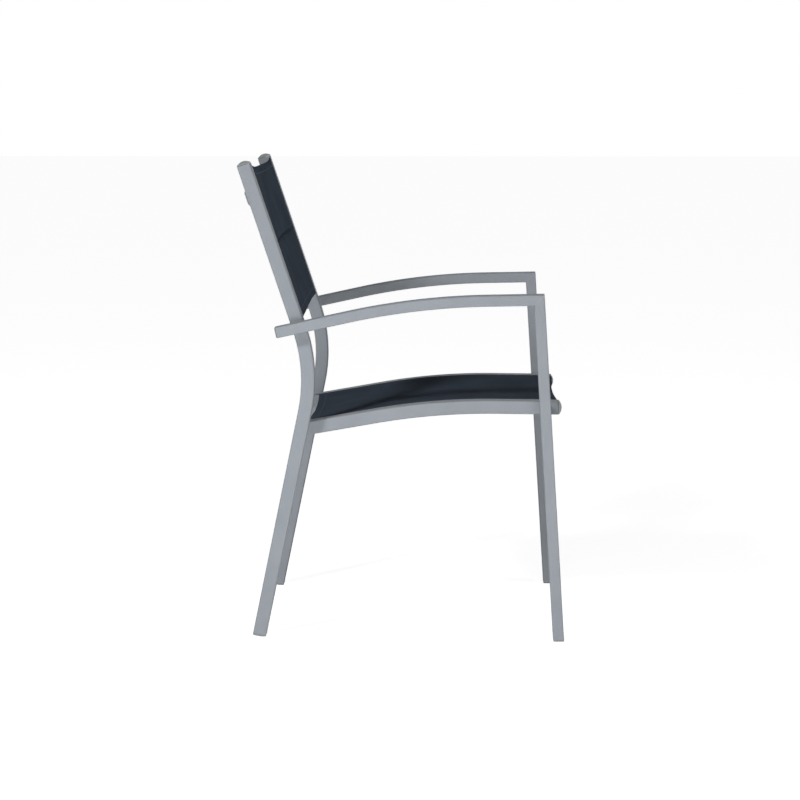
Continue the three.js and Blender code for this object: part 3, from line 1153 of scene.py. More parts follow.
@dataclass
class Welds:
    """The beads that join the tubes."""

    lines: ChairLines
    tubes: Tubes
    coat: bpy.types.Material
    radius: float = 1.5
    ripple_pitch: float = 1.7
    ripple_share: float = 0.13
    mitre_radius: float = 0.75
    end_reach: float = 1.8
    end_share: float = 0.02
    bury: float = 0.5
    sides: int = 10
    step: float = 0.45
    path_samples: int = 2400
    path_skip: int = 4
    path_margin: int = 8

    def bead(
        self, path: np.ndarray, closed: bool, radius: float | None = None
    ) -> Solid:
        """A bead with the scales of a hand weld.

        Args:
            path: Points in millimetres.
            closed: Whether the path comes back to its start.
            radius: The bead's radius, if it isn't the usual one.

        Returns:
            The bead.
        """
        track = np.vstack([path, path[:1]]) if closed else path
        run = np.concatenate(
            [[0], np.cumsum(np.linalg.norm(np.diff(track, axis=0), axis=1))]
        )
        count = max(6, round(run[-1] / self.step))
        at = np.linspace(0, run[-1], count + 1)
        if closed:
            at = at[:-1]
        points = np.column_stack([np.interp(at, run, track[:, k]) for k in range(3)])
        ahead = np.roll(points, -1, axis=0)
        behind = np.roll(points, 1, axis=0)
        if not closed:
            ahead[-1], behind[0] = points[-1], points[0]
        tangent = ahead - behind
        tangent /= np.linalg.norm(tangent, axis=1)[:, None]
        # Any direction that no bead follows serves to start the rings.
        normal = np.cross(tangent, [0.31, 0.47, 0.83])
        normal /= np.linalg.norm(normal, axis=1)[:, None]
        binormal = np.cross(tangent, normal)
        scales = np.abs(np.sin(math.pi * at / self.ripple_pitch))
        low = 1 - self.ripple_share
        size = (radius or self.radius) * (low + self.ripple_share * scales)
        if not closed:
            from_end = np.minimum(at, run[-1] - at) / self.end_reach
            size = size * np.sqrt(np.clip(from_end, self.end_share, 1))
        angles = np.linspace(0, 2 * math.pi, self.sides, endpoint=False)
        rings = (
            points[:, None]
            + size[:, None, None] * np.cos(angles)[None, :, None] * normal[:, None]
            + size[:, None, None] * np.sin(angles)[None, :, None] * binormal[:, None]
        )
        return Solid.over_rings(rings, closed)

    def edge_path(
        self,
        line: BentLine,
        depth: float,
        other: BentLine,
        other_depth: float,
        x: float,
        edge: int,
    ) -> np.ndarray:
        """The path along one edge of a tube where it lies against another tube.

        Args:
            line: The tube's line.
            depth: Its depth in the side view.
            other: The other tube's line.
            other_depth: The other tube's depth.
            x: The bead's place across the chair, with its side's sign.
            edge: 1 for the edge on the left of the line, -1 for the other.

        Returns:
            The points of the path.
        """
        distances = np.linspace(0, line.length, self.path_samples)
        point, _, across = line.at(distances)
        track = point + across * edge * (depth / 2 - self.bury)
        skip, margin = self.path_skip, self.path_margin
        far = np.linspace(0, other.length, self.path_samples)
        middle, _, normal = other.at(far)
        gap = track[:, None] - middle[None, ::skip]
        near = np.argmin(np.einsum("ijk,ijk->ij", gap, gap), axis=1) * skip
        off = np.abs(np.einsum("ij,ij->i", track - middle[near], normal[near]))
        inside = off < other_depth / 2 - self.bury
        inside &= (near > margin) & (near < len(far) - margin)
        kept = track[inside]
        return np.column_stack([np.full(len(kept), x), kept])

    def lap(
        self,
        inner: tuple[BentLine, float],
        outer: tuple[BentLine, float],
        contact: float,
        side: Side,
    ) -> Solid:
        """The four beads where two tubes lie side by side.

        Args:
            inner: Line and depth of the tube nearer the middle of the chair.
            outer: Line and depth of the tube further out.
            contact: The distance of their common plane from X = 0.
            side: The side of the chair.

        Returns:
            The beads.
        """
        beads = []
        for (line, depth), (other, other_depth), lean in (
            (outer, inner, 1),
            (inner, outer, -1),
        ):
            x = side.value * (contact + lean * self.bury)
            for edge in (1, -1):
                path = self.edge_path(line, depth, other, other_depth, x, edge)
                if len(path) > self.path_margin:
                    beads.append(self.bead(path, closed=False))
        return Solid.joined(beads)

    def ring(
        self, section: Section, station: Station, x: float, offset: float
    ) -> Solid:
        """The bead round the end of a tube that runs across the chair."""
        rim = Section(section.outer)
        return self.bead(ring_across(rim, station, x, offset), closed=True)

    def make(self, name: str, solid: Solid) -> None:
        """Add one joint's beads."""
        Piece(name, solid, self.coat, Slot.FRAME, crease_deg=80.0).build()

    def build(self) -> None:
        """Build the beads of every joint."""
        lines, tubes = self.lines, self.tubes
        rail, upright = lines.rail(), lines.upright()
        depth = lines.profile.depth
        half = lines.profile.width / 2
        crossing = rail.at(lines.front_crossing())
        outer_post = (lines.arm(), lines.tube_depth)
        spacer = tubes.spacer_section()
        spacer_ends = (
            lines.rail_x + half + self.bury,
            lines.arm_x - lines.tube_width / 2 - self.bury,
        )
        for side in Side:
            word, sign = side.label, side.value
            for name, inner, outer, contact in (
                ("rail", (rail, depth), (upright, depth), lines.upright_x - half),
                ("arm", (upright, depth), outer_post, lines.upright_x + half),
            ):
                beads = self.lap(inner, outer, contact, side)
                self.make(f"weld_{name}_{word}", beads)
            rings = [self.ring(spacer, crossing, sign * x, 0.0) for x in spacer_ends]
            self.make(f"weld_spacer_{word}", Solid.joined(rings))
            for name, bar in tubes.bars().items():
                end = sign * (bar.half - self.bury)
                ring = self.ring(bar.section, bar.station, end, bar.offset)
                self.make(f"weld_{name}_{word}", ring)
            self.make(f"weld_mitre_{word}", self.mitre_bead(side))

    def mitre_bead(self, side: Side) -> Solid:
        """The ground bead in the mitre of arm and front leg."""
        lines = self.lines
        outline = rounded_rectangle(
            lines.tube_width - 2 * self.bury,
            lines.tube_depth - 2 * self.bury,
            lines.tube_corner,
        )
        cut = lines.mitre(0)
        leg = lines.leg()
        shift = cut.shift(leg, leg.length, outline)
        path = Layer(side, lines.arm_x).place(leg, leg.length, outline, shift)
        return self.bead(path, closed=True, radius=self.mitre_radius)


Rings = list[tuple[float, float]]


@dataclass
class Caps:
    """The plastic caps and feet in the ends of the tubes."""

    lines: ChairLines
    plastic: bpy.types.Material
    rim: float = 1.6
    dome: float = 5.2
    fit: float = 0.3
    inset: float = 0.2
    edge: float = 0.7
    plug_length: float = 12.0
    plug_taper: float = 0.8
    plate: float = 2.0
    plate_rings: tuple[tuple[float, float], ...] = (
        (0.5, 1.0),
        (0.75, 0.9594),
        (0.95, 0.8988),
        (1.0, 0.8288),
    )
    foot_pad: float = 3.0
    foot_share: float = 0.97
    dome_rings: int = 14
    dome_start: float = 0.16
    tip_share: float = 0.03

    def slices(self, rise: Rings) -> Rings:
        """Reach and share of each ring from the rim up.

        Args:
            rise: Reach above the gap, and the share of the full outline there.

        Returns:
            The rings, with a small round at the lower edge of the rim.
        """
        depth = self.lines.profile.depth
        low = (0.0, 1 - 2 * self.edge / depth)
        middle = (self.edge * 0.3, 1 - self.edge / depth)
        return [low, middle, (self.edge, 1.0), *rise]

    def domed(self) -> Rings:
        """The rings of a parabolic dome over the rim."""
        shares = np.cos(np.linspace(self.dome_start, QUARTER, self.dome_rings))
        shares = shares[:-1] / shares[0]
        return self.slices(
            [(self.rim, 1.0)]
            + [(self.rim + self.dome * (1 - s * s), s) for s in shares[1:]]
            + [(self.rim + self.dome, self.tip_share)]
        )

    def flat_top(self) -> Rings:
        """The rings of a flat cap with a bevelled edge."""
        return self.slices(
            [(self.plate * reach, share) for reach, share in self.plate_rings]
        )

    def padded_end(self) -> Rings:
        """The rings of a foot's pad, which the floor cuts level."""
        return self.slices(
            [(self.foot_pad - self.edge, 1.0), (self.foot_pad, self.foot_share)]
        )

    def cap(
        self,
        line: BentLine,
        end: int,
        layer: Layer,
        plug: tuple[np.ndarray, float],
        face: np.ndarray,
        rings: Rings,
    ) -> Solid:
        """A cap with its plug.

        Args:
            line: The tube's line.
            end: 1 for the line's end, -1 for its start.
            layer: The tube's layer.
            plug: The plug's outline about its own middle, and the middle's y.
            face: The outline of the cap's face.
            rings: Reach and share of each ring above the gap.

        Returns:
            The cap.
        """
        distance = line.length if end > 0 else 0.0
        outline, middle = plug
        lift = np.array([0.0, middle])
        thin = 1 - self.plug_taper / float(np.ptp(outline[:, 1]))
        stack = [
            (-self.plug_length, outline * thin + lift),
            (-self.plug_length + self.edge, outline * (1 + thin) / 2 + lift),
            (self.fit, outline + lift),
        ]
        stack += [(self.fit + reach, face * share) for reach, share in rings]
        placed = [
            layer.place(line, distance, shape, end * reach) for reach, shape in stack
        ]
        return Solid.loft(placed, Section(face))

    def profile_plug(self) -> tuple[np.ndarray, float]:
        """The plug that fills the sling extrusion below its groove."""
        shape = self.lines.profile
        width = shape.width - 2 * (shape.wall + self.fit)
        below = shape.groove_radius + shape.groove_wall + self.fit
        top = shape.groove_centre[1] - below
        bottom = shape.wall + self.fit - shape.depth / 2
        outline = rounded_rectangle(width, top - bottom, shape.wall)
        return outline, (top + bottom) / 2

    def tube_plug(self) -> tuple[np.ndarray, float]:
        """The plug that fills the plain tube."""
        lines = self.lines
        slack = 2 * (lines.tube_wall + self.fit)
        outline = rounded_rectangle(
            lines.tube_width - slack, lines.tube_depth - slack, lines.tube_wall
        )
        return outline, 0.0

    def face(self, width: float, depth: float) -> np.ndarray:
        """The outline of a cap's face."""
        return rounded_rectangle(
            width - 2 * self.inset, depth - 2 * self.inset, self.lines.tube_corner
        )

    def build(self) -> None:
        """Build every cap and foot."""
        lines, profile = self.lines, self.lines.profile
        rail, upright = lines.rail(), lines.upright()
        grooved = (self.profile_plug(), self.face(profile.width, profile.depth))
        plain = (self.tube_plug(), self.face(lines.tube_width, lines.tube_depth))
        dome, foot = self.domed(), self.padded_end()
        kinds = {
            "upright_cap": (upright, 1, lines.upright_x, grooved, dome),
            "rail_front_cap": (rail, -1, lines.rail_x, grooved, dome),
            "rail_rear_cap": (rail, 1, lines.rail_x, grooved, dome),
            "arm_cap": (lines.arm(), 1, lines.arm_x, plain, self.flat_top()),
            "front_foot": (lines.leg(), -1, lines.arm_x, plain, foot),
            "rear_foot": (upright, -1, lines.upright_x, grooved, foot),
        }
        for side in Side:
            for kind, (line, end, x, (plug, face), rings) in kinds.items():
                node = f"{kind}_{side.label}"
                Piece(
                    f"plastic_{node}",
                    self.cap(line, end, Layer(side, x), plug, face, rings),
                    self.plastic,
                    Slot.CAP,
                    node,
                    floor_cut=rings is foot,
                ).build()


Surface = Callable[[np.ndarray, np.ndarray], np.ndarray]


@dataclass
class Sling:
    """A stretched cloth between two grooves, with a spline in each side hem."""

    name: str
    lines: ChairLines
    line: BentLine
    half_width: float
    start: float
    end: float
    start_curve: Surface
    end_curve: Surface
    drop: Surface
    cloth: bpy.types.Material
    thread: bpy.types.Material
    rod: bpy.types.Material
    thickness: float = 1.0
    hem_depth: float = 17.0
    hem_ramp: float = 0.8
    hem_share: float = 0.8
    edge_round: float = 1.2
    edge_share: float = 0.35
    edge_rows: tuple[float, ...] = (0.25, 0.7, 1.4)
    edge_crowding: float = 0.1
    side_fade: float = 6.0
    column_step: float = 3.4
    row_step: float = 4.2
    least_row_gap: float = 0.2
    spline_radius: float = 1.5
    spline_steps: int = 20
    slack: float = 0.3
    wrap_share: float = 0.85
    stitch_pitch: float = 3.4
    stitch_length: float = 2.5
    stitch_radius: float = 0.32
    stitch_rings: tuple[tuple[float, float], ...] = (
        (-0.5, 0.25),
        (-0.34, 0.85),
        (0.0, 1.0),
        (0.34, 0.85),
        (0.5, 0.25),
    )
    stitch_sides: int = 6
    stitch_flatness: float = 0.8
    stitch_lift: float = 0.25
    stitch_inset: float = 3.0
    side_stitch_inset: float = 11.0
    stitch_clearance: tuple[float, float] = (5.0, 4.0)
    rod_step: float = 7.0
    rod_reach: float = 0.0
    extra_rows: tuple[float, ...] = ()

    @property
    def level(self) -> float:
        """The middle of the cloth above the middle of the rail, at its sides."""
        shape = self.lines.profile
        return shape.depth / 2 - shape.cloth_drop

    def shares(self) -> np.ndarray:
        """The columns across the cloth, as shares of its half width."""
        count = 2 * round(self.half_width / self.column_step)
        even = np.linspace(-1, 1, count + 1)
        return even * (1 - self.edge_crowding * (1 - even**2))

    def rows(self) -> np.ndarray:
        """The rows along the cloth, as distances from its start."""
        length = self.end - self.start
        even = np.linspace(0, length, round(length / self.row_step) + 1)
        fold = self.hem_depth
        edge = np.array([*self.edge_rows, fold - 0.5, fold, fold + 0.5])
        rows = np.sort(np.concatenate([even, edge, length - edge, self.extra_rows]))
        keep = np.concatenate([[True], np.diff(rows) > self.least_row_gap])
        rows = rows[keep]
        rows[-1] = length
        return rows

    def half_thickness(self, row: float) -> tuple[float, float]:
        """Half the cloth above and below its middle at a row.

        Args:
            row: The distance from the cloth's start.

        Returns:
            The half above, and the half below with the folded hem.
        """
        length = self.end - self.start
        inward = min(row, length - row)
        half = self.thickness / 2
        risen = min(1.0, inward / self.edge_round) ** 0.5
        round_off = self.edge_share + (1 - self.edge_share) * risen
        past_hem = (inward - self.hem_depth) / self.hem_ramp + 0.5
        folded = 1.0 - min(1.0, max(0.0, past_hem))
        hem = self.thickness * self.hem_share * folded
        return half * round_off, (half + hem) * round_off

    def hem_points(self) -> tuple[np.ndarray, np.ndarray]:
        """The right hem's outline and the bore for its spline."""
        shape = self.lines.profile
        half = self.thickness / 2
        centre = np.array(
            [
                self.half_width + shape.groove_inset,
                shape.depth / 2 - shape.groove_inset,
            ]
        )
        inner = self.spline_radius + self.slack / 2
        outer = inner + self.thickness * self.wrap_share
        bend = np.array([centre[0] - (self.level - centre[1]), self.level])
        spread = np.array([half * math.tan((math.pi - shape.groove_angle) / 2), half])
        start = shape.groove_angle + math.asin(half / outer)
        stop = 2 * (math.pi + shape.groove_angle) - start
        ring = arc(centre, outer, start, stop, self.spline_steps)
        outline = np.vstack([[bend - spread], ring, [bend + spread]])
        bore = arc(centre, inner, 0, 2 * math.pi, self.spline_steps)[1:]
        return outline, bore

    def outline(self, row: float, progress: float) -> Section:
        """The cloth's section at a row.

        Args:
            row: The distance from the cloth's start.
            progress: The same as a share of its length.

        Returns:
            The section, with a bore in each hem.
        """
        shares = self.shares()
        above, below = self.half_thickness(row)
        middle = self.level - self.drop(shares, np.full_like(shares, progress))
        x = shares * self.half_width
        inward = (1 - np.abs(shares)) * self.half_width
        fade = np.clip(inward / self.side_fade, 0, 1)
        plain = self.thickness / 2
        low = middle - (plain + (below - plain) * fade)
        high = middle + (plain + (above - plain) * fade)
        hem, bore = self.hem_points()
        mirrored_hem = (hem * [-1, 1])[::-1]
        mirrored_bore = (bore * [-1, 1])[::-1]
        outer = np.vstack(
            [
                np.column_stack([x, low]),
                hem,
                np.column_stack([x, high])[::-1],
                mirrored_hem,
            ]
        )
        return Section(outer, (bore, mirrored_bore))

    def distance(self, x: np.ndarray, progress: float) -> np.ndarray:
        """The distance along the line of points at a progress.

        Args:
            x: The points' places across the chair.
            progress: Their share of the cloth's length.

        Returns:
            One distance for each point.
        """
        share = np.clip(x / self.half_width, -1, 1)
        start = self.start + self.start_curve(share, share)
        end = self.end - self.end_curve(share, share)
        return start + (end - start) * progress

    def build(self) -> bpy.types.Object:
        """Build the cloth, its stitching and its splines.

        Returns:
            The cloth.
        """
        rows = self.rows()
        length = rows[-1]
        middle = Layer(Side.LEFT, 0.0)
        rings, uv = [], []
        section = self.outline(0.0, 0.0)
        for row in rows:
            section = self.outline(row, row / length)
            offsets = np.vstack(section.contours())
            distance = self.distance(offsets[:, 0], row / length)
            rings.append(middle.place(self.line, distance, offsets))
            uv.append(np.column_stack([offsets[:, 0] * MM, distance * MM]))
        solid = Solid.loft(rings, section)
        piece = Piece(
            f"cloth_{self.name}",
            solid,
            self.cloth,
            Slot.SLING,
            self.name,
            crease_deg=70.0,
            uv=np.vstack(uv),
        ).build()
        seams = self.stitching()
        rods = [self.spline(side) for side in Side]
        return piece

    def surface(self, share: np.ndarray, row: np.ndarray) -> np.ndarray:
        """Points on the sitter's face of the cloth.

        Args:
            share: Places across, as shares of the half width.
            row: Distances from the cloth's start.

        Returns:
            The points in millimetres, one a row.
        """
        length = self.end - self.start
        progress = row / length
        height = self.level - self.drop(share, progress) + self.thickness / 2
        offsets = np.column_stack([share * self.half_width, height])
        distance = np.concatenate(
            [self.distance(offsets[i : i + 1, 0], progress[i]) for i in range(len(row))]
        )
        return Layer(Side.LEFT, 0.0).place(self.line, distance, offsets)

    def stitching(self) -> bpy.types.Object:
        """The rows of stitches that close the four hems."""
        length = self.end - self.start
        inset = self.hem_depth - self.stitch_inset
        side_share = 1 - self.side_stitch_inset / self.half_width
        side_clear, end_clear = self.stitch_clearance
        half_run = self.half_width - side_clear
        count = int(2 * half_run / self.stitch_pitch)
        shares = np.linspace(-1, 1, count) * half_run / self.half_width
        run = np.arange(end_clear, length - end_clear, self.stitch_pitch)
        rows = [
            self.stitches(shares, np.full_like(shares, row))
            for row in (inset, length - inset)
        ]
        rows += [
            self.stitches(np.full_like(run, sign * side_share), run)
            for sign in (-1, 1)
        ]
        return Piece(
            f"stitching_{self.name}",
            Solid.joined(rows),
            self.thread,
            Slot.SLING,
            crease_deg=80.0,
        ).build()

    def stitches(self, share: np.ndarray, row: np.ndarray) -> Solid:
        """One row of stitches, each a short swollen run of thread.

        Args:
            share: Places of the stitches across the cloth.
            row: Their distances from the cloth's start.

        Returns:
            The stitches.
        """
        centre = self.surface(share, row)
        ahead = np.gradient(centre, axis=0)
        ahead /= np.linalg.norm(ahead, axis=1)[:, None]
        middle = self.line.at(self.start + row)[2]
        up = np.column_stack([np.zeros(len(row)), middle])
        side = np.cross(ahead, up)
        scale = (self.stitch_length, self.stitch_radius)
        stations = np.array(self.stitch_rings) * scale
        angles = np.linspace(0, 2 * math.pi, self.stitch_sides, endpoint=False)
        rise = np.sin(angles) * self.stitch_flatness + self.stitch_lift
        parts = []
        for i in range(len(row)):
            rings = np.array(
                [
                    centre[i]
                    + ahead[i] * r
                    + np.outer(np.cos(angles), side[i]) * w
                    + np.outer(rise, up[i]) * w
                    for r, w in stations
                ]
            )
            parts.append(Solid.over_rings(rings, closed=False))
        return Solid.joined(parts)

    def spline(self, side: Side) -> bpy.types.Object:
        """The rod in one side hem."""
        shape = self.lines.profile
        whole = 2 * math.pi
        outline = arc((0, 0), self.spline_radius, 0, whole, self.spline_steps)[1:]
        layer = Layer(side, self.half_width + shape.width / 2)
        section = Section(outline + shape.groove_centre)
        end = self.end + self.rod_reach
        distances = self.line.stations(self.start, end, self.rod_step)
        rings = [layer.place(self.line, d, section.outer) for d in distances]
        node = f"{self.name.split('_')[0]}_spline_{side.label}"
        return Piece(
            f"rod_{node}", Solid.loft(rings, section), self.rod, Slot.SPLINE, node
        ).build()


def smoothstep(value: np.ndarray, low: float, high: float) -> np.ndarray:
    """Rise smoothly from 0 to 1 between two values."""
    share = np.clip((value - low) / (high - low), 0, 1)
    return share * share * (3 - 2 * share)


def unevenness(
    share: np.ndarray,
    progress: np.ndarray,
    slanted: tuple[float, float],
    crossing: tuple[float, float],
) -> np.ndarray:
    """Slow waves of a cloth that has been folded flat, from -1 to 1.

    Args:
        share: Places across, as shares of the half width.
        progress: Places along, as shares of the length.
        slanted: The turns of the first wave along and across, in radians.
        crossing: The turns of the second wave across and its start.

    Returns:
        The product of both waves at each place.
    """
    along, across = slanted
    turns, start = crossing
    return np.sin(along * progress + across * share) * np.sin(turns * share + start)


@dataclass(frozen=True)
class SeatForm:
    """How the seat cloth lies: a slight belly with a few shallow ripples."""

    belly: float = 5.0
    belly_power: float = 1.6
    wrinkle: float = 0.3
    slanted: tuple[float, float] = (9.3, 2.1)
    crossing: tuple[float, float] = (5.1, 0.7)
    ridges: tuple[float, float] = (23.0, 3.0)
    ridge_share: float = 0.4

    def drop(self, share: np.ndarray, progress: np.ndarray) -> np.ndarray:
        """How far the cloth lies below its sides.

        Args:
            share: Places across, as shares of the half width.
            progress: Places from front to rear, as shares of the length.

        Returns:
            The drops in millimetres.
        """
        belly = self.belly * (1 - np.abs(share) ** self.belly_power)
        along, across = self.ridges
        ridges = np.sin(along * progress + across * share) * self.ridge_share
        waves = unevenness(share, progress, self.slanted, self.crossing)
        return belly + self.wrinkle * (1 - share**4) * (waves + ridges)


@dataclass(frozen=True)
class BackForm:
    """How the back cloth lies: a slight belly and a crease across its middle."""

    sag: float = 5.0
    lower_share: float = 0.15
    upper_share: float = 0.6
    crease_at: float = 0.501
    crease_depth: float = 4.4
    crease_reach: float = 3.2
    crease_power: float = 1.3
    pinch: float = 1.6
    pinch_reach: float = 16.0
    pucker: float = 0.45
    pucker_pitch: float = 31.0
    pucker_reach: float = 20.0
    wrinkle: float = 0.3
    slanted: tuple[float, float] = (7.7, 3.3)
    crossing: tuple[float, float] = (6.1, -1.1)
    length: float = 291.0
    half_width: float = 220.0

    def drop(self, share: np.ndarray, progress: np.ndarray) -> np.ndarray:
        """How far the cloth lies behind its sides.

        Args:
            share: Places across, as shares of the half width.
            progress: Places from bottom to top, as shares of the length.

        Returns:
            The drops in millimetres.
        """
        ends = self.lower_share + (self.upper_share - self.lower_share) * progress
        full = ends + (1 - ends) * np.sin(progress * math.pi)
        belly = self.sag * (1 - share**2) * full
        off = np.abs(progress - self.crease_at) * self.length
        pinch = self.pinch * np.exp(-((off / self.pinch_reach) ** 2))
        fold = np.exp(-((off / self.crease_reach) ** self.crease_power))
        waves = np.sin(2 * math.pi * share * self.half_width / self.pucker_pitch)
        puckers = self.pucker * waves * np.exp(-((off / self.pucker_reach) ** 2))
        uneven = self.wrinkle * unevenness(share, progress, self.slanted, self.crossing)
        loose = pinch + self.crease_depth * fold + puckers + uneven
        return belly + loose * (1 - share**4)


@dataclass
class Cloths:
    """The seat sling and the back sling."""

    lines: ChairLines
    cloth: bpy.types.Material
    thread: bpy.types.Material
    rod: bpy.types.Material
    seat_rear_inset: float = 13.4
    seat_rear_curve: float = 4.0
    seat_front_inset: float = 1.0
    seat_front_curve: float = 2.6
    seat_front_lift: float = 4.2
    seat_lift_start: tuple[float, float] = (0.1, 0.6)
    seat_lift_end: tuple[float, float] = (0.9, 1.0)
    back_top_inset: float = 4.0
    back_top_curve: float = 6.0
    back_top_power: int = 6
    back_length: float = 291.0
    back_bottom_curve: float = 6.5
    back_bottom_slope: float = 0.7
    crease_rows: tuple[float, ...] = (-7, -4.5, -2.6, -1.2, 0, 1.2, 2.6, 4.5, 7)

    def seat_front(self, share: np.ndarray, _: np.ndarray) -> np.ndarray:
        """How far the seat's front edge lies back, a curve that lifts at the left."""
        start, end = self.seat_lift_start, self.seat_lift_end
        lift = smoothstep(share, *start) * (1 - smoothstep(share, *end))
        return self.seat_front_curve * (1 - share**2) - self.seat_front_lift * lift

    def back_top(self, share: np.ndarray, _: np.ndarray) -> np.ndarray:
        """How far the back's top edge lies down from its corners."""
        return self.back_top_curve * (1 - share**self.back_top_power)

    def back_bottom(self, share: np.ndarray, _: np.ndarray) -> np.ndarray:
        """How far the back's lower edge lies up, a curve that is full at the left."""
        rise = np.minimum(self.back_bottom_slope * (share + 1), 1)
        return self.back_bottom_curve * rise

    def build(self) -> None:
        """Build both slings."""
        rail, upright = self.lines.rail(), self.lines.upright()
        seat, back = SeatForm(), BackForm(length=self.back_length)
        Sling(
            "seat_sling",
            self.lines,
            rail,
            self.lines.seat_width / 2,
            self.seat_front_inset,
            rail.length - self.seat_rear_inset,
            self.seat_front,
            lambda share, _: self.seat_rear_curve * (1 - share**2),
            seat.drop,
            self.cloth,
            self.thread,
            self.rod,
        ).build()
        end = upright.length - self.back_top_inset
        crease = back.crease_at * self.back_length
        Sling(
            "back_sling",
            self.lines,
            upright,
            self.lines.upright_x - self.lines.profile.width / 2,
            end - self.back_length,
            end,
            self.back_bottom,
            self.back_top,
            back.drop,
            self.cloth,
            self.thread,
            self.rod,
            rod_reach=self.back_top_inset,
            extra_rows=tuple(crease + step for step in self.crease_rows),
        ).build()


# Stage


@dataclass(frozen=True)
class Camera:
    """The photograph's camera, solved from the chair's own edges."""

    place: tuple[float, float, float] = (-4.68465, -0.10224, 1.01095)
    yaw: float = 0.0233398
    pitch: float = 0.1278954
    focal_px: float = 2460.21
    sensor_mm: float = 36.0

    def build(self) -> None:
        """Add the camera and make it the scene's."""
        forward = Vector(
            (
                math.cos(self.yaw) * math.cos(self.pitch),
                math.sin(self.yaw) * math.cos(self.pitch),
                -math.sin(self.pitch),
            )
        )
        right = Vector((math.sin(self.yaw), -math.cos(self.yaw), 0.0))
        up = right.cross(forward)
        data = bpy.data.cameras.new("photo_camera")
        data.sensor_fit = "HORIZONTAL"
        data.sensor_width = self.sensor_mm
        data.lens = self.focal_px / IMAGE_SIDE_PX * self.sensor_mm
        data.clip_end = 100.0
        camera = bpy.data.objects.new("photo_camera", data)
        turn = Matrix((right, up, -forward)).transposed().to_4x4()
        camera.matrix_world = Matrix.Translation(self.place) @ turn
        bpy.context.scene.collection.objects.link(camera)
        bpy.context.scene.camera = camera


@dataclass(frozen=True)
class Softbox:
    """A soft studio lamp that looks at a place in the chair."""

    name: str
    towards: tuple[float, float, float]
    distance: float
    width: float
    height: float
    watts: float
    aim: tuple[float, float, float] = (0.0, 0.0, 0.45)

    def build(self) -> None:
        """Add the lamp."""
        data = bpy.data.lights.new(self.name, "AREA")
        data.shape = "RECTANGLE"
        data.size = self.width
        data.size_y = self.height
        data.energy = self.watts
        lamp = bpy.data.objects.new(self.name, data)
        direction = Vector(self.towards).normalized()
        lamp.location = Vector(self.aim) + direction * self.distance
        lamp.rotation_euler = direction.to_track_quat("Z", "Y").to_euler()
        lamp.visible_camera = False
        bpy.context.scene.collection.objects.link(lamp)


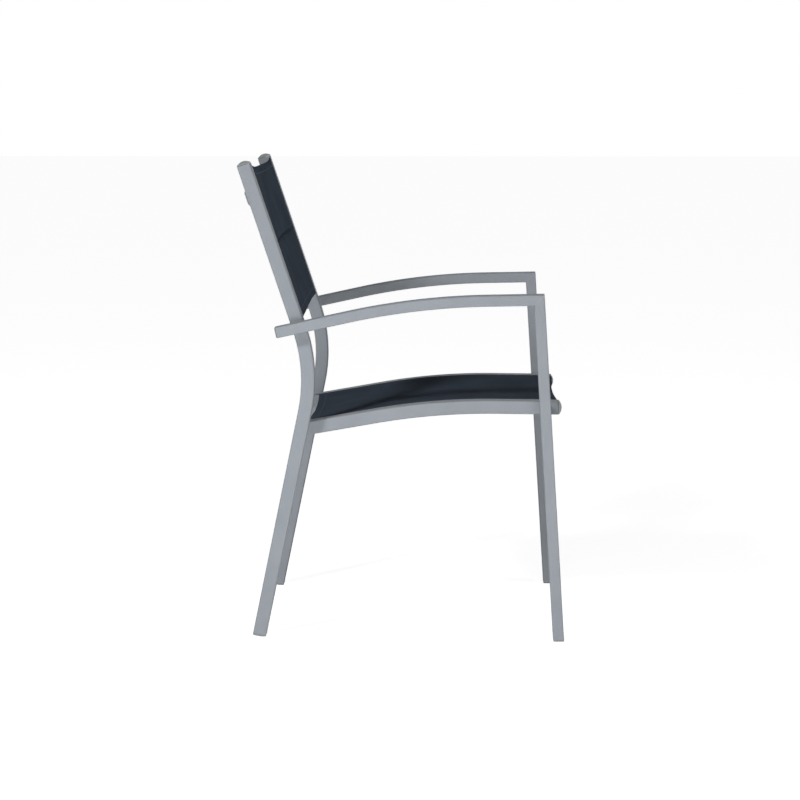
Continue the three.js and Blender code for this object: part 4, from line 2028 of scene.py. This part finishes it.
@dataclass(frozen=True)
class Studio:
    """The white floor, the white surroundings and the lamps."""

    ambient: float = 0.02
    floor_side: float = 60.0
    floor_tone: str = "#E6E6E6"
    floor_glow: float = 0.87
    far_glow: float = 0.95
    near_m: float = 1.0
    far_m: float = 3.0
    lamps: tuple[Softbox, ...] = (
        Softbox("lamp_right_rear_high", (-0.68, 0.544, 0.491), 3.44, 0.44, 0.44, 44.5),
        Softbox("lamp_right", (-0.968, -0.241, 0.07), 4.0, 1.0, 1.0, 20.5),
        Softbox(
            "lamp_right_low",
            (-1.0, 0.0, 0.1),
            distance=1.3,
            width=0.5,
            height=0.5,
            watts=5.6,
            aim=(-0.25, 0.0, 0.12),
        ),
        Softbox("lamp_front", (-0.173, -0.981, 0.087), 3.0, 1.0, 1.0, 18.0),
        Softbox("lamp_rear", (0.0, 0.94, 0.342), 3.0, 1.0, 1.0, 2.5),
        Softbox("lamp_left", (1.0, -0.5, 0.9), 2.5, 1.5, 1.5, 2.0),
    )

    def build(self) -> None:
        """Add floor, surroundings and lamps."""
        self.surroundings()
        self.floor()
        for lamp in self.lamps:
            lamp.build()
        bpy.context.scene.view_settings.view_transform = "Standard"

    @staticmethod
    def seen_directly(tree: bpy.types.NodeTree) -> bpy.types.NodeSocket:
        """1 for the camera's own rays and for those through gloss or glass."""
        path = add_node(tree, "ShaderNodeLightPath")
        total = path.outputs["Is Camera Ray"]
        for name in ("Is Glossy Ray", "Is Transmission Ray"):
            total = add_node(
                tree,
                "ShaderNodeMath",
                {"operation": "MAXIMUM"},
                {0: total, 1: path.outputs[name]},
            ).outputs[0]
        return total

    def surroundings(self) -> None:
        """A world that is white to the eye and lights the chair at a plain level."""
        world = bpy.data.worlds.new("white_studio")
        world.use_nodes = True
        tree = world.node_tree
        tree.nodes.clear()
        white = linear("#FFFFFF")
        seen = add_node(tree, "ShaderNodeBackground", {"Color": white, "Strength": 1.0})
        soft = add_node(
            tree, "ShaderNodeBackground", {"Color": white, "Strength": self.ambient}
        )
        mixed = add_node(
            tree,
            "ShaderNodeMixShader",
            links={
                0: self.seen_directly(tree),
                1: soft.outputs[0],
                2: seen.outputs[0],
            },
        )
        add_node(tree, "ShaderNodeOutputWorld", links={"Surface": mixed.outputs[0]})
        bpy.context.scene.world = world

    def floor(self) -> None:
        """A pale floor that reads white and keeps a faint shadow."""
        half = self.floor_side / 2
        mesh = bpy.data.meshes.new("studio_floor")
        signs = ((-1, -1), (1, -1), (1, 1), (-1, 1))
        corners = [(half * x, half * y, 0) for x, y in signs]
        mesh.from_pydata(corners, [], [(0, 1, 2, 3)])
        floor = bpy.data.objects.new("studio_floor", mesh)
        material = bpy.data.materials.new("matt_white_vinyl_floor")
        material.use_nodes = True
        tree = material.node_tree
        tree.nodes.clear()
        pale = linear(self.floor_tone)
        matt = add_node(tree, "ShaderNodeBsdfDiffuse", {"Color": pale})
        # The glow keeps the shadow near the chair and fades to plain white far off.
        place = add_node(tree, "ShaderNodeTexCoord").outputs["Object"]
        away = add_node(
            tree, "ShaderNodeVectorMath", {"operation": "LENGTH"}, {0: place}
        )
        fade = add_node(
            tree,
            "ShaderNodeMapRange",
            {
                "From Min": self.near_m,
                "From Max": self.far_m,
                "To Min": self.floor_glow,
                "To Max": self.far_glow,
            },
            {"Value": away.outputs["Value"]},
        )
        level = add_node(
            tree,
            "ShaderNodeMath",
            {"operation": "MULTIPLY"},
            {0: self.seen_directly(tree), 1: fade.outputs["Result"]},
        )
        glow = add_node(
            tree,
            "ShaderNodeEmission",
            {"Color": linear("#FFFFFF")},
            {"Strength": level.outputs[0]},
        )
        both = add_node(
            tree, "ShaderNodeAddShader", links={0: matt.outputs[0], 1: glow.outputs[0]}
        )
        add_node(tree, "ShaderNodeOutputMaterial", links={"Surface": both.outputs[0]})
        mesh.materials.append(material)
        bpy.context.scene.collection.objects.link(floor)


def main() -> None:
    """Build the chair and its stage, and report each piece."""
    logging.basicConfig(level=logging.INFO, format="%(name)s %(message)s")
    Camera().build()
    Studio().build()
    lines = ChairLines()
    # Silver-grey powder coat: the eye sees an even satin grey with a soft sheen.
    coat = PowderCoat("silver_powder_coat", "#A2A8AF", "#999FA6", 0.64).material()
    # The coat over a weld bead is thicker and smoother, so the scales catch light; its
    # tone is also a little lighter than the tube's coat, a painted highlight on the
    # beads.
    bead = PowderCoat(
        "silver_powder_coat_on_weld", "#ABADB2", "#A0A2A8", 0.32, gloss=0.5
    ).material()
    # Moulded polypropylene: dull, and warmer than the coated tube.
    plastic = MouldedPlastic(
        "grey_polypropylene", "#A3A5A5", "#9B9E9E", 0.55
    ).material()
    # Sling fabric: dark slate yarns, dull, with a weave that only shows up close.
    cloth = CoatedMesh("slate_sling_fabric", "#5B6774", "#3E4551", 0.6).material()
    # Thread: near the cloth's own tone, so that a seam shows by its relief.
    thread = Thread("slate_polyester_thread", "#565E69", "#414850", 0.7).material()
    # Extruded vinyl rod: black and slightly shiny where the groove ends.
    rod = MouldedPlastic("black_vinyl_rod", "#17191C", "#121416", 0.42).material()
    tubes = Tubes(lines, coat)
    tubes.build()
    Welds(lines, tubes, bead).build()
    Caps(lines, plastic).build()
    Cloths(lines, cloth, thread, rod).build()
    log.info("the chair is built")


if __name__ == "__main__":
    main()
